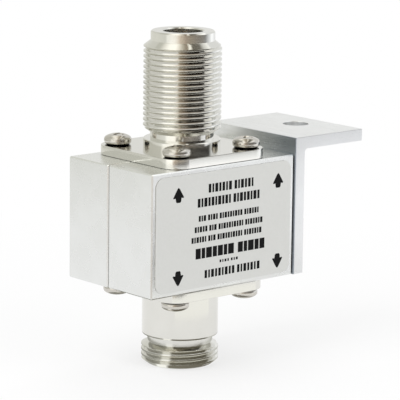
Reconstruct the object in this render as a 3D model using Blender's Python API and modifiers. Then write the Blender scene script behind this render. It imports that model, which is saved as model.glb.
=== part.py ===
# Coaxial lightning arrestor: a two-part aluminium housing between two threaded coaxial
# connectors, with the surge parts inside it and an angle bracket on its right side.
# Metres, +Z up. The label faces -Y and the bracket points to +X. The origin is the centre
# of the bounding box's bottom, in the plane of the equipment connector's rim.

import math

import bmesh
import bpy
from mathutils import Matrix
from mathutils import Vector

MM = 0.001

# Clearances
SEAT_GAP = 0.2 * MM
HOLE_CLEARANCE = 0.2 * MM
LABEL_GAP = 0.1 * MM

# Housing, split by a seam in the plane of its length and height
HOUSING_WIDTH = 37.2 * MM
HOUSING_HEIGHT = 24.8 * MM
FRONT_MARGIN = 0.4 * MM
REAR_MARGIN = 0.2 * MM
SEAM_BEHIND_AXIS = 0.4 * MM
HOUSING_EDGE = 0.25 * MM
FACE_WALL = 3.0 * MM
POCKET_CORNER_RADIUS = 2.0 * MM

# Square connector flange and its four screws
FLANGE_HOLE_SPACING = 18.26 * MM
FLANGE_HOLE_MARGIN = 3.57 * MM
FLANGE_THICKNESS = 1.8 * MM
FLANGE_CORNER_RADIUS = 4.0 * MM
FLANGE_EDGE = 0.15 * MM

# Pan head screw, number 4-40
SCREW_LENGTH = 6.35 * MM
SCREW_RADIUS = 1.4 * MM
SCREW_HEAD_RADIUS = 2.78 * MM
SCREW_HEAD_HEIGHT = 2.0 * MM
SCREW_HEAD_SIDE = 0.9 * MM
SCREW_TIP_EDGE = 0.35 * MM
RECESS_LENGTH = 2.9 * MM
RECESS_WIDTH = 0.75 * MM
RECESS_DEPTH = 1.1 * MM
TAPPED_HOLE_SPARE = 0.3 * MM
TAPPED_HOLE_FLOOR = 0.75 * MM
SCREW_TURN = math.radians(37)

# Thread and face sizes that both connectors share
THREAD_RADIUS = 7.85 * MM
PILOT_RADIUS = 6.0 * MM
PILOT_DEPTH = 3.0 * MM
MOUTH_EDGE = 0.25 * MM
SOCKET_RADIUS = 4.05 * MM
SOCKET_DEPTH = 9.1 * MM
INSULATOR_RADIUS = 3.3 * MM
INSULATOR_COLLAR_RADIUS = 4.2 * MM
INSULATOR_COLLAR_LENGTH = 2.6 * MM

# Antenna connector, heights measured from the flange's seat towards the mouth
ANTENNA_REACH = 25.1 * MM
ANTENNA_BOSS_RADIUS = 7.8 * MM
ANTENNA_BOSS_TOP = 3.45 * MM
ANTENNA_NECK_RADIUS = 6.4 * MM
ANTENNA_NECK_TOP = 4.7 * MM
ANTENNA_THREAD_START = 5.7 * MM
ANTENNA_THREAD_LENGTH = 16.4 * MM
ANTENNA_NOSE_RADIUS = 6.45 * MM
ANTENNA_NOSE_LENGTH = 1.9 * MM

# Equipment connector, heights measured the same way
EQUIPMENT_REACH = 17.7 * MM
EQUIPMENT_BODY_RADIUS = 7.75 * MM
EQUIPMENT_BODY_TOP = 11.6 * MM
EQUIPMENT_BODY_EDGE = 0.35 * MM
EQUIPMENT_NECK_RADIUS = 6.6 * MM
EQUIPMENT_NECK_LENGTH = 1.5 * MM
EQUIPMENT_SHOULDER = 0.6 * MM
EQUIPMENT_NOSE_RADIUS = 6.5 * MM
EQUIPMENT_NOSE_CHAMFER = 1.0 * MM

# Slotted centre contact
CONTACT_RADIUS = 1.525 * MM
CONTACT_BORE_RADIUS = 0.83 * MM
CONTACT_BORE_POINT = 0.4 * MM
CONTACT_RECESS = 4.5 * MM
CONTACT_WEB = 0.3 * MM
CONTACT_SLOT_WIDTH = 0.4 * MM
CONTACT_SLOT_STOP = 1.0 * MM
CONTACT_EDGE = 0.2 * MM
STEM_RADIUS = 0.75 * MM

# Sealing ring round each pilot
RING_SECTION_RADIUS = 0.6 * MM

# Angle bracket
BRACKET_THICKNESS = 2.5 * MM
BRACKET_WIDTH = 26.0 * MM
BRACKET_FORWARD = 0.4 * MM
BRACKET_LEG = 18.6 * MM
BRACKET_RISE = 3.4 * MM
BRACKET_FILLET = 0.8 * MM
BRACKET_GAP = 0.3 * MM
BRACKET_HOLE_RADIUS = 2.65 * MM
BRACKET_HOLE_OUT = 11.9 * MM
BRACKET_SCREW_SPACING = 15.0 * MM

# Label
LABEL_THICKNESS = 0.2 * MM
LABEL_MARGIN = 0.9 * MM
LABEL_CORNER_RADIUS = 2.0 * MM

# Surge parts in the pocket
PART_SPACING = 0.8 * MM
COIL_SPACING = 1.9 * MM
CAPACITOR_RADIUS = 4.4 * MM
CAPACITOR_THICKNESS = 2.2 * MM
CAPACITOR_EDGE = 0.4 * MM
STRIP_THICKNESS = 0.6 * MM
STRIP_WIDTH = 6.4 * MM
PAD_RADIUS = 3.6 * MM
GAS_TUBE_RADIUS = 4.0 * MM
GAS_TUBE_BORE_RADIUS = 2.7 * MM
GAS_TUBE_LENGTH = 6.0 * MM
CAP_THICKNESS = 0.7 * MM
CAP_RIM_INSET = 0.3 * MM
CAP_STUB_RADIUS = 1.7 * MM
SPARK_GAP = 0.9 * MM
SPRING_THICKNESS = 0.35 * MM
SPRING_WIDTH = 5.0 * MM
SPRING_SPAN = 5.6 * MM
SPRING_HEIGHT = 1.9 * MM
COIL_RADIUS = 2.3 * MM
COIL_WIRE_RADIUS = 0.4 * MM
COIL_PITCH = 1.15 * MM
COIL_TURNS = 4
POST_RADIUS = 1.1 * MM
POST_HEIGHT = 1.2 * MM
POST_SHANK_RADIUS = 0.6 * MM
POST_SHANK_LENGTH = 2.4 * MM

# Faceting
ROUND_STEPS = 48
SMALL_STEPS = 24
SCREW_STEPS = 16
DOME_STEPS = 3
FILLET_STEPS = 3
CORNER_STEPS = 6
COIL_STEPS = 12
SPRING_STEPS = 6
RING_SECTION_STEPS = 6
MERGE_DISTANCE = 0.00001
OVERCUT = 1.0 * MM
SHARP_ANGLE = math.radians(32)

# The flanges set the housing's depth, and the flange screws set its end walls
FLANGE_SIDE = FLANGE_HOLE_SPACING + 2 * FLANGE_HOLE_MARGIN
HOUSING_FRONT = -FLANGE_SIDE / 2 - FRONT_MARGIN
HOUSING_REAR = FLANGE_SIDE / 2 + REAR_MARGIN
FLANGE_GRIP = SCREW_LENGTH - FLANGE_THICKNESS - 2 * SEAT_GAP
BRACKET_GRIP = SCREW_LENGTH - BRACKET_THICKNESS - SEAT_GAP - BRACKET_GAP
END_WALL = FLANGE_GRIP + TAPPED_HOLE_SPARE + TAPPED_HOLE_FLOOR

# The gas tube and the coil stand on each side of the capacitor, and set the pocket's width
GAS_TUBE_OFFSET = CAPACITOR_RADIUS + PART_SPACING + GAS_TUBE_RADIUS
COIL_OFFSET = CAPACITOR_RADIUS + COIL_SPACING + COIL_RADIUS + COIL_WIRE_RADIUS
COIL_END = COIL_OFFSET + COIL_RADIUS + COIL_WIRE_RADIUS
STRIP_HALF_LENGTH = max(GAS_TUBE_OFFSET + GAS_TUBE_RADIUS - CAP_RIM_INSET, COIL_END)
POCKET_HALF_WIDTH = max(GAS_TUBE_OFFSET + GAS_TUBE_RADIUS, COIL_END) + PART_SPACING

# Heights above the equipment connector's rim
HOUSING_BASE = EQUIPMENT_REACH + SEAT_GAP
HOUSING_TOP = HOUSING_BASE + HOUSING_HEIGHT
HOUSING_MIDDLE = HOUSING_BASE + HOUSING_HEIGHT / 2
POCKET_FLOOR = HOUSING_BASE + END_WALL
SPRING_TOP = POCKET_FLOOR + SEAT_GAP + SPRING_HEIGHT
GAS_TUBE_BOTTOM = SPRING_TOP + SEAT_GAP
GAS_TUBE_TOP = GAS_TUBE_BOTTOM + GAS_TUBE_LENGTH
STRIP_UNDERSIDE = GAS_TUBE_TOP + SEAT_GAP
CAPACITOR_TOP = STRIP_UNDERSIDE - SEAT_GAP
CAPACITOR_BOTTOM = CAPACITOR_TOP - CAPACITOR_THICKNESS
PAD_TOP = CAPACITOR_BOTTOM - SEAT_GAP

# Depths and widths from the connectors' common axis
BRACKET_FACE = HOUSING_WIDTH / 2 + BRACKET_GAP
BRACKET_FRONT = -BRACKET_WIDTH / 2 - BRACKET_FORWARD
BRACKET_REAR = BRACKET_WIDTH / 2 - BRACKET_FORWARD
LABEL_FRONT = HOUSING_FRONT - LABEL_GAP - LABEL_THICKNESS

# The axis stands where it centres the whole object on the origin
AXIS_X = (HOUSING_WIDTH / 2 - (BRACKET_FACE + BRACKET_LEG)) / 2
AXIS_Y = -(min(LABEL_FRONT, BRACKET_FRONT) + max(HOUSING_REAR, BRACKET_REAR)) / 2


def clear_scene():
    for obj in list(bpy.data.objects):
        bpy.data.objects.remove(obj)
    for collection in list(bpy.data.collections):
        bpy.data.collections.remove(collection)


def new_collection(name):
    collection = bpy.data.collections.new(name)
    bpy.context.scene.collection.children.link(collection)
    return collection


def new_material(name, colour, metallic, roughness):
    material = bpy.data.materials.new(name)
    material.use_nodes = True
    material.diffuse_color = (*colour, 1.0)
    shader = material.node_tree.nodes["Principled BSDF"]
    shader.inputs["Base Color"].default_value = (*colour, 1.0)
    shader.inputs["Metallic"].default_value = metallic
    shader.inputs["Roughness"].default_value = roughness
    return material


clear_scene()
PARTS = new_collection("coax_lightning_arrestor")
CUTTERS = new_collection("cutters")

AXIS = bpy.data.objects.new("connector_axis", None)
AXIS.location = (AXIS_X, AXIS_Y, 0.0)
PARTS.objects.link(AXIS)

ALUMINIUM = new_material("milled_aluminium", (0.76, 0.76, 0.75), 1.0, 0.42)
BRACKET_ALUMINIUM = new_material("extruded_aluminium", (0.74, 0.74, 0.73), 1.0, 0.45)
NICKEL = new_material("nickel_plated_brass", (0.72, 0.70, 0.66), 1.0, 0.2)
STEEL = new_material("stainless_screw_steel", (0.66, 0.65, 0.63), 1.0, 0.25)
LABEL_FILM = new_material("grey_label_film", (0.66, 0.66, 0.64), 0.0, 0.5)
WHITE_PLASTIC = new_material("white_fluoropolymer", (0.88, 0.88, 0.86), 0.0, 0.45)
GOLD = new_material("gold_plated_copper", (0.95, 0.72, 0.33), 1.0, 0.25)
RUBBER = new_material("black_rubber", (0.03, 0.03, 0.03), 0.0, 0.8)
COPPER = new_material("tinned_copper", (0.80, 0.60, 0.48), 1.0, 0.35)
CERAMIC = new_material("white_alumina", (0.85, 0.84, 0.80), 0.0, 0.5)
CAPACITOR_CERAMIC = new_material("coated_ceramic", (0.55, 0.30, 0.10), 0.0, 0.5)
ENAMELLED_WIRE = new_material("enamelled_wire", (0.60, 0.22, 0.08), 1.0, 0.3)
SPRING_BRONZE = new_material("spring_bronze", (0.75, 0.55, 0.30), 1.0, 0.35)


def place(obj, material=None, location=(0, 0, 0), rotation=(0, 0, 0)):
    """Puts a piece, or a cutter if it has no material, at its place from the connectors' axis."""
    obj.parent = AXIS
    obj.location = location
    obj.rotation_euler = rotation
    if material is None:
        CUTTERS.objects.link(obj)
        obj.hide_render = True
        obj.display_type = "WIRE"
    else:
        PARTS.objects.link(obj)
        obj.data.materials.clear()
        obj.data.materials.append(material)
    return obj


def finish(obj):
    """Turns the modifiers into the piece's own mesh, shaded smooth between its sharp edges."""
    bpy.context.view_layer.update()
    graph = bpy.context.evaluated_depsgraph_get()
    mesh = bpy.data.meshes.new_from_object(obj.evaluated_get(graph))
    mesh.name = obj.name
    obj.modifiers.clear()
    obj.data = mesh
    mesh.shade_smooth()
    mesh.set_sharp_from_angle(angle=SHARP_ANGLE)
    return obj


def boolean(obj, other, operation="DIFFERENCE"):
    modifier = obj.modifiers.new(operation.lower() + "_" + other.name, "BOOLEAN")
    modifier.operation = operation
    modifier.object = other
    modifier.solver = "EXACT"
    return obj


def turned(name, profile, steps=ROUND_STEPS, ring=False):
    """A body turned about Z. The (radius, height) points run down its outer side."""
    shape = bmesh.new()
    points = [shape.verts.new((radius, 0.0, height)) for radius, height in profile]
    for start, end in zip(points, points[1:]):
        shape.edges.new((start, end))
    if ring:
        shape.edges.new((points[-1], points[0]))
    mesh = bpy.data.meshes.new(name)
    shape.to_mesh(mesh)
    shape.free()
    obj = bpy.data.objects.new(name, mesh)
    screw = obj.modifiers.new("turn", "SCREW")
    screw.axis = "Z"
    screw.steps = steps
    screw.render_steps = steps
    screw.use_merge_vertices = True
    screw.merge_threshold = MERGE_DISTANCE
    return obj


def block(name, low, high, edge=0.0):
    """A box between two corners, with its edges broken by a chamfer."""
    size = Vector(high) - Vector(low)
    middle = (Vector(high) + Vector(low)) / 2
    shape = bmesh.new()
    bmesh.ops.create_cube(shape, size=1.0)
    bmesh.ops.scale(shape, vec=size, verts=shape.verts)
    bmesh.ops.translate(shape, vec=middle, verts=shape.verts)
    mesh = bpy.data.meshes.new(name)
    shape.to_mesh(mesh)
    shape.free()
    obj = bpy.data.objects.new(name, mesh)
    if edge:
        bevel = obj.modifiers.new("broken_edges", "BEVEL")
        bevel.width = edge
        bevel.segments = 1
    return obj


def rounded_slab(name, width, height, thickness, radius):
    """A slab lying on Z = 0 with its four upright corners rounded."""
    shape = bmesh.new()
    bmesh.ops.create_cube(shape, size=1.0)
    bmesh.ops.scale(shape, vec=(width, height, thickness), verts=shape.verts)
    bmesh.ops.translate(shape, vec=(0, 0, thickness / 2), verts=shape.verts)
    upright = [edge for edge in shape.edges if abs(edge.verts[0].co.z - edge.verts[1].co.z) > thickness / 2]
    bmesh.ops.bevel(shape, geom=upright, offset=radius, segments=CORNER_STEPS, profile=0.5, affect="EDGES")
    mesh = bpy.data.meshes.new(name)
    shape.to_mesh(mesh)
    shape.free()
    return bpy.data.objects.new(name, mesh)


def pins(name, places, radius, low, high, steps=SCREW_STEPS):
    """Upright cylinders at several places, as one cutter."""
    shape = bmesh.new()
    for x, y in places:
        matrix = Matrix.Translation((x, y, (low + high) / 2))
        bmesh.ops.create_cone(
            shape,
            cap_ends=True,
            segments=steps,
            radius1=radius,
            radius2=radius,
            depth=high - low,
            matrix=matrix,
        )
    mesh = bpy.data.meshes.new(name)
    shape.to_mesh(mesh)
    shape.free()
    return bpy.data.objects.new(name, mesh)


def mesh_of(curve, name):
    """A curve as a welded mesh object."""
    source = bpy.data.objects.new(name + "_curve", curve)
    CUTTERS.objects.link(source)
    bpy.context.view_layer.update()
    graph = bpy.context.evaluated_depsgraph_get()
    mesh = bpy.data.meshes.new_from_object(source.evaluated_get(graph))
    mesh.name = name
    bpy.data.objects.remove(source)
    shape = bmesh.new()
    shape.from_mesh(mesh)
    bmesh.ops.remove_doubles(shape, verts=shape.verts, dist=MERGE_DISTANCE)
    bmesh.ops.recalc_face_normals(shape, faces=shape.faces)
    shape.to_mesh(mesh)
    shape.free()
    return bpy.data.objects.new(name, mesh)


def extruded_outline(name, outline, width):
    """A flat outline in X and Y, given half its width on each side of Z = 0."""
    curve = bpy.data.curves.new(name, "CURVE")
    curve.dimensions = "2D"
    curve.fill_mode = "BOTH"
    curve.extrude = width / 2
    spline = curve.splines.new("POLY")
    spline.points.add(len(outline) - 1)
    for point, (x, y) in zip(spline.points, outline):
        point.co = (x, y, 0.0, 1.0)
    spline.use_cyclic_u = True
    return mesh_of(curve, name)


def flange_screw_places():
    half = FLANGE_HOLE_SPACING / 2
    return [(-half, -half), (half, -half), (half, half), (-half, half)]


def bracket_screw_places():
    """Depth and height of each bracket screw, level with the housing's middle."""
    half = BRACKET_SCREW_SPACING / 2
    return [(-half, HOUSING_MIDDLE), (half, HOUSING_MIDDLE)]


def pocket_cutter():
    """The pocket that both halves share, with the round corners that a milling cutter leaves."""
    height = HOUSING_HEIGHT - 2 * END_WALL
    rear = HOUSING_REAR - FACE_WALL
    depth = rear - (HOUSING_FRONT + FACE_WALL)
    cutter = rounded_slab("pocket_cutter", 2 * POCKET_HALF_WIDTH, height, depth, POCKET_CORNER_RADIUS)
    return place(cutter, location=(0, rear, HOUSING_MIDDLE), rotation=(math.pi / 2, 0, 0))


def port_cutter(end, height, rotation):
    """The hole for a connector's pilot, with the counterbore for its sealing ring."""
    hole = PILOT_RADIUS + HOLE_CLEARANCE
    ring_seat = PILOT_RADIUS + 2 * RING_SECTION_RADIUS + 2 * HOLE_CLEARANCE
    seat_depth = 2 * RING_SECTION_RADIUS
    profile = [
        (0.0, OVERCUT),
        (ring_seat, OVERCUT),
        (ring_seat, -seat_depth),
        (hole, -seat_depth),
        (hole, -END_WALL - OVERCUT),
        (0.0, -END_WALL - OVERCUT),
    ]
    cutter = turned(end + "_port_cutter", profile)
    return place(cutter, location=(0, 0, height), rotation=rotation)


def housing_cutters():
    radius = SCREW_RADIUS + HOLE_CLEARANCE
    depth = FLANGE_GRIP + TAPPED_HOLE_SPARE
    upper = pins("upper_screw_hole_cutter", flange_screw_places(), radius, -depth, OVERCUT)
    lower = pins("lower_screw_hole_cutter", flange_screw_places(), radius, -depth, OVERCUT)
    # Turned to point along -X, so a place's first number becomes its height.
    sideways = [(-height, depth_place) for depth_place, height in bracket_screw_places()]
    bracket_depth = BRACKET_GRIP + TAPPED_HOLE_SPARE
    side = pins("side_screw_hole_cutter", sideways, radius, -bracket_depth, OVERCUT)
    post_hole = pins(
        "post_hole_cutter",
        [(COIL_OFFSET, -COIL_RADIUS)],
        POST_SHANK_RADIUS + HOLE_CLEARANCE,
        POCKET_FLOOR - POST_SHANK_LENGTH - SEAT_GAP,
        POCKET_FLOOR + OVERCUT,
    )
    return [
        pocket_cutter(),
        port_cutter("antenna", HOUSING_TOP, (0, 0, 0)),
        port_cutter("equipment", HOUSING_BASE, (math.pi, 0, 0)),
        place(upper, location=(0, 0, HOUSING_TOP)),
        place(lower, location=(0, 0, HOUSING_BASE), rotation=(math.pi, 0, 0)),
        place(side, location=(HOUSING_WIDTH / 2, 0, 0), rotation=(0, math.pi / 2, 0)),
        place(post_hole),
    ]


def housing_half(name, front, rear, cutters):
    low = (-HOUSING_WIDTH / 2, front, HOUSING_BASE)
    high = (HOUSING_WIDTH / 2, rear, HOUSING_TOP)
    half = place(block(name, low, high, HOUSING_EDGE), ALUMINIUM)
    for cutter in cutters:
        boolean(half, cutter)
    return finish(half)


def housing():
    cutters = housing_cutters()
    housing_half("front_housing", HOUSING_FRONT, SEAM_BEHIND_AXIS - SEAT_GAP / 2, cutters)
    housing_half("rear_housing", SEAM_BEHIND_AXIS + SEAT_GAP / 2, HOUSING_REAR, cutters)


def bracket():
    """An angle cut from extrusion, its long leg down the housing and its short leg outwards."""
    bottom = HOUSING_BASE
    top = HOUSING_TOP + BRACKET_RISE
    inner = BRACKET_FACE
    outer = inner + BRACKET_LEG
    root_x = inner + BRACKET_THICKNESS + BRACKET_FILLET
    root_z = top - BRACKET_THICKNESS - BRACKET_FILLET
    fillet = []
    for step in range(FILLET_STEPS + 1):
        angle = math.pi - step * math.pi / 2 / FILLET_STEPS
        fillet.append((root_x + BRACKET_FILLET * math.cos(angle), root_z + BRACKET_FILLET * math.sin(angle)))
    outline = [(inner, top), (inner, bottom), (inner + BRACKET_THICKNESS, bottom)]
    outline += fillet
    outline += [(outer, top - BRACKET_THICKNESS), (outer, top)]
    angle_bar = extruded_outline("mounting_bracket", outline, BRACKET_WIDTH)
    place(angle_bar, BRACKET_ALUMINIUM, (0, -BRACKET_FORWARD, 0), (math.pi / 2, 0, 0))
    mount_hole = pins(
        "bracket_mount_hole_cutter",
        [(inner + BRACKET_HOLE_OUT, -BRACKET_FORWARD)],
        BRACKET_HOLE_RADIUS,
        top - BRACKET_THICKNESS - OVERCUT,
        top + OVERCUT,
        ROUND_STEPS,
    )
    boolean(angle_bar, place(mount_hole))
    sideways = [(-height, depth_place) for depth_place, height in bracket_screw_places()]
    clearance_holes = pins(
        "bracket_screw_hole_cutter",
        sideways,
        SCREW_RADIUS + HOLE_CLEARANCE,
        -OVERCUT,
        BRACKET_THICKNESS + OVERCUT,
    )
    boolean(angle_bar, place(clearance_holes, location=(inner, 0, 0), rotation=(0, math.pi / 2, 0)))
    return finish(angle_bar)


def label():
    width = HOUSING_WIDTH - 2 * LABEL_MARGIN
    height = HOUSING_HEIGHT - 2 * LABEL_MARGIN
    film = rounded_slab("label", width, height, LABEL_THICKNESS, LABEL_CORNER_RADIUS)
    place(film, LABEL_FILM, (0, HOUSING_FRONT - LABEL_GAP, HOUSING_MIDDLE), (math.pi / 2, 0, 0))
    return finish(film)


def antenna_profile():
    """Outer side from the mouth down to the pilot's end: nose, thread, neck and boss."""
    nose_foot = ANTENNA_REACH - ANTENNA_NOSE_LENGTH
    thread_end = ANTENNA_THREAD_START + ANTENNA_THREAD_LENGTH
    return [
        (0.0, ANTENNA_REACH),
        (ANTENNA_NOSE_RADIUS - MOUTH_EDGE, ANTENNA_REACH),
        (ANTENNA_NOSE_RADIUS, ANTENNA_REACH - MOUTH_EDGE),
        (ANTENNA_NOSE_RADIUS, nose_foot),
        (THREAD_RADIUS, thread_end),
        (THREAD_RADIUS, ANTENNA_THREAD_START),
        (ANTENNA_NECK_RADIUS, ANTENNA_NECK_TOP),
        (ANTENNA_NECK_RADIUS, ANTENNA_BOSS_TOP),
        (ANTENNA_BOSS_RADIUS, ANTENNA_BOSS_TOP),
        (ANTENNA_BOSS_RADIUS, FLANGE_THICKNESS / 2),
        (PILOT_RADIUS, FLANGE_THICKNESS / 2),
        (PILOT_RADIUS, -PILOT_DEPTH),
        (0.0, -PILOT_DEPTH),
    ]


def equipment_profile():
    """Outer side from the mouth down to the pilot's end: short thread, neck and plain body."""
    thread_end = EQUIPMENT_REACH - EQUIPMENT_NOSE_CHAMFER
    neck_top = EQUIPMENT_BODY_TOP + EQUIPMENT_NECK_LENGTH
    return [
        (0.0, EQUIPMENT_REACH),
        (EQUIPMENT_NOSE_RADIUS, EQUIPMENT_REACH),
        (THREAD_RADIUS, thread_end),
        (THREAD_RADIUS, neck_top + EQUIPMENT_SHOULDER),
        (EQUIPMENT_NECK_RADIUS, neck_top),
        (EQUIPMENT_NECK_RADIUS, EQUIPMENT_BODY_TOP),
        (EQUIPMENT_BODY_RADIUS - EQUIPMENT_BODY_EDGE, EQUIPMENT_BODY_TOP),
        (EQUIPMENT_BODY_RADIUS, EQUIPMENT_BODY_TOP - EQUIPMENT_BODY_EDGE),
        (EQUIPMENT_BODY_RADIUS, FLANGE_THICKNESS / 2),
        (PILOT_RADIUS, FLANGE_THICKNESS / 2),
        (PILOT_RADIUS, -PILOT_DEPTH),
        (0.0, -PILOT_DEPTH),
    ]


def connector_bore(reach):
    """The stepped bore from the mouth: socket, insulator bore and the collar's counterbore."""
    shelf = reach - SOCKET_DEPTH
    narrow = INSULATOR_RADIUS + HOLE_CLEARANCE
    collar = INSULATOR_COLLAR_RADIUS + HOLE_CLEARANCE
    collar_top = INSULATOR_COLLAR_LENGTH - PILOT_DEPTH
    return [
        (0.0, reach + OVERCUT),
        (SOCKET_RADIUS + MOUTH_EDGE + OVERCUT, reach + OVERCUT),
        (SOCKET_RADIUS, reach - MOUTH_EDGE),
        (SOCKET_RADIUS, shelf),
        (narrow, shelf),
        (narrow, collar_top),
        (collar, collar_top),
        (collar, -PILOT_DEPTH - OVERCUT),
        (0.0, -PILOT_DEPTH - OVERCUT),
    ]


def connector(end, reach, profile, height, rotation):
    """A connector body: square flange and turned barrel in one piece, bored right through."""
    flange = rounded_slab(
        end + "_connector", FLANGE_SIDE, FLANGE_SIDE, FLANGE_THICKNESS, FLANGE_CORNER_RADIUS
    )
    place(flange, NICKEL, (0, 0, height), rotation)
    bevel = flange.modifiers.new("broken_edges", "BEVEL")
    bevel.width = FLANGE_EDGE
    bevel.segments = 1
    barrel = place(turned(end + "_barrel", profile), location=(0, 0, height), rotation=rotation)
    boolean(flange, barrel, "UNION")
    bore = turned(end + "_bore_cutter", connector_bore(reach))
    boolean(flange, place(bore, location=(0, 0, height), rotation=rotation))
    holes = pins(
        end + "_flange_hole_cutter",
        flange_screw_places(),
        SCREW_RADIUS + HOLE_CLEARANCE,
        -OVERCUT,
        FLANGE_THICKNESS + OVERCUT,
    )
    boolean(flange, place(holes, location=(0, 0, height), rotation=rotation))
    return finish(flange)


def insulator(end, reach, height, rotation):
    """The bead that holds the centre contact, put in from behind up to its collar."""
    face = reach - SOCKET_DEPTH
    collar_top = INSULATOR_COLLAR_LENGTH - PILOT_DEPTH - SEAT_GAP
    hole = STEM_RADIUS + HOLE_CLEARANCE
    profile = [
        (hole, face),
        (INSULATOR_RADIUS, face),
        (INSULATOR_RADIUS, collar_top),
        (INSULATOR_COLLAR_RADIUS, collar_top),
        (INSULATOR_COLLAR_RADIUS, -PILOT_DEPTH),
        (hole, -PILOT_DEPTH),
    ]
    bead = turned(end + "_insulator", profile, SMALL_STEPS, ring=True)
    return finish(place(bead, WHITE_PLASTIC, (0, 0, height), rotation))


def contact(end, reach, stem_end, height, rotation):
    """A socket contact with four spring fingers, and a stem that runs back to the surge parts."""
    tip = reach - CONTACT_RECESS
    foot = reach - SOCKET_DEPTH + SEAT_GAP
    bore_end = foot + CONTACT_WEB
    profile = [
        (0.0, bore_end),
        (CONTACT_BORE_RADIUS, bore_end + CONTACT_BORE_POINT),
        (CONTACT_BORE_RADIUS, tip),
        (CONTACT_RADIUS - CONTACT_EDGE, tip),
        (CONTACT_RADIUS, tip - CONTACT_EDGE),
        (CONTACT_RADIUS, foot),
        (STEM_RADIUS, foot),
        (STEM_RADIUS, stem_end),
        (0.0, stem_end),
    ]
    socket = place(turned(end + "_contact", profile, SMALL_STEPS), GOLD, (0, 0, height), rotation)
    for turn in (0, 1):
        low = (-CONTACT_RADIUS - OVERCUT, -CONTACT_SLOT_WIDTH / 2, foot + CONTACT_SLOT_STOP)
        high = (CONTACT_RADIUS + OVERCUT, CONTACT_SLOT_WIDTH / 2, tip + OVERCUT)
        slot = block(f"{end}_contact_slot_cutter_{turn + 1}", low, high)
        yaw = math.pi / 4 + turn * math.pi / 2
        boolean(socket, place(slot, location=(0, 0, height), rotation=(rotation[0], 0, yaw)))
    return finish(socket)


def sealing_ring(end, height):
    """A round-section rubber ring in the counterbore round the pilot."""
    bpy.ops.mesh.primitive_torus_add(
        major_segments=ROUND_STEPS,
        minor_segments=RING_SECTION_STEPS,
        major_radius=PILOT_RADIUS + HOLE_CLEARANCE + RING_SECTION_RADIUS,
        minor_radius=RING_SECTION_RADIUS,
    )
    ring = bpy.context.object
    ring.name = end + "_sealing_ring"
    for collection in list(ring.users_collection):
        collection.objects.unlink(ring)
    return finish(place(ring, RUBBER, (0, 0, height)))


def pan_head_screw_mesh():
    """A pan head screw with its head on +Z and its seat at Z = 0. The thread stays plain."""
    profile = []
    for step in range(DOME_STEPS + 1):
        angle = step * math.pi / 2 / DOME_STEPS
        rise = (SCREW_HEAD_HEIGHT - SCREW_HEAD_SIDE) * math.cos(angle)
        profile.append((SCREW_HEAD_RADIUS * math.sin(angle), SCREW_HEAD_SIDE + rise))
    profile += [
        (SCREW_HEAD_RADIUS, 0.0),
        (SCREW_RADIUS, 0.0),
        (SCREW_RADIUS, SCREW_TIP_EDGE - SCREW_LENGTH),
        (SCREW_RADIUS - SCREW_TIP_EDGE, -SCREW_LENGTH),
        (0.0, -SCREW_LENGTH),
    ]
    screw = place(turned("screw_pattern", profile, SCREW_STEPS), STEEL)
    for turn in (0, 1):
        low = (-RECESS_LENGTH / 2, -RECESS_WIDTH / 2, SCREW_HEAD_HEIGHT - RECESS_DEPTH)
        high = (RECESS_LENGTH / 2, RECESS_WIDTH / 2, SCREW_HEAD_HEIGHT + OVERCUT)
        arm = block(f"recess_cutter_{turn + 1}", low, high)
        boolean(screw, place(arm, rotation=(0, 0, turn * math.pi / 2)))
    mesh = finish(screw).data
    mesh.name = "pan_head_screw"
    bpy.data.objects.remove(screw)
    return mesh


def screws():
    mesh = pan_head_screw_mesh()
    seat = FLANGE_THICKNESS + 2 * SEAT_GAP
    ends = (("antenna", HOUSING_TOP + seat, 0.0), ("equipment", HOUSING_BASE - seat, math.pi))
    for end, height, flip in ends:
        for number, (x, y) in enumerate(flange_screw_places(), 1):
            screw = bpy.data.objects.new(f"{end}_flange_screw_{number}", mesh)
            place(screw, STEEL, (x, y, height), (flip, 0, number * SCREW_TURN))
    seat_x = BRACKET_FACE + BRACKET_THICKNESS + SEAT_GAP
    for number, (y, height) in enumerate(bracket_screw_places(), 1):
        screw = bpy.data.objects.new(f"bracket_screw_{number}", mesh)
        place(screw, STEEL, (seat_x, y, height), (0, math.pi / 2, 0))


def signal_path():
    """Strip from the antenna contact, blocking capacitor, and pad to the equipment contact."""
    profile = [
        (0.0, CAPACITOR_TOP),
        (CAPACITOR_RADIUS - CAPACITOR_EDGE, CAPACITOR_TOP),
        (CAPACITOR_RADIUS, CAPACITOR_TOP - CAPACITOR_EDGE),
        (CAPACITOR_RADIUS, CAPACITOR_BOTTOM + CAPACITOR_EDGE),
        (CAPACITOR_RADIUS - CAPACITOR_EDGE, CAPACITOR_BOTTOM),
        (0.0, CAPACITOR_BOTTOM),
    ]
    finish(place(turned("blocking_capacitor", profile, SMALL_STEPS), CAPACITOR_CERAMIC))

    low = (-STRIP_HALF_LENGTH, -STRIP_WIDTH / 2, STRIP_UNDERSIDE)
    high = (STRIP_HALF_LENGTH, STRIP_WIDTH / 2, STRIP_UNDERSIDE + STRIP_THICKNESS)
    place(block("antenna_strip", low, high), COPPER)

    pad = [
        (0.0, PAD_TOP),
        (PAD_RADIUS, PAD_TOP),
        (PAD_RADIUS, PAD_TOP - STRIP_THICKNESS),
        (0.0, PAD_TOP - STRIP_THICKNESS),
    ]
    finish(place(turned("equipment_pad", pad, SMALL_STEPS), COPPER))


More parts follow.
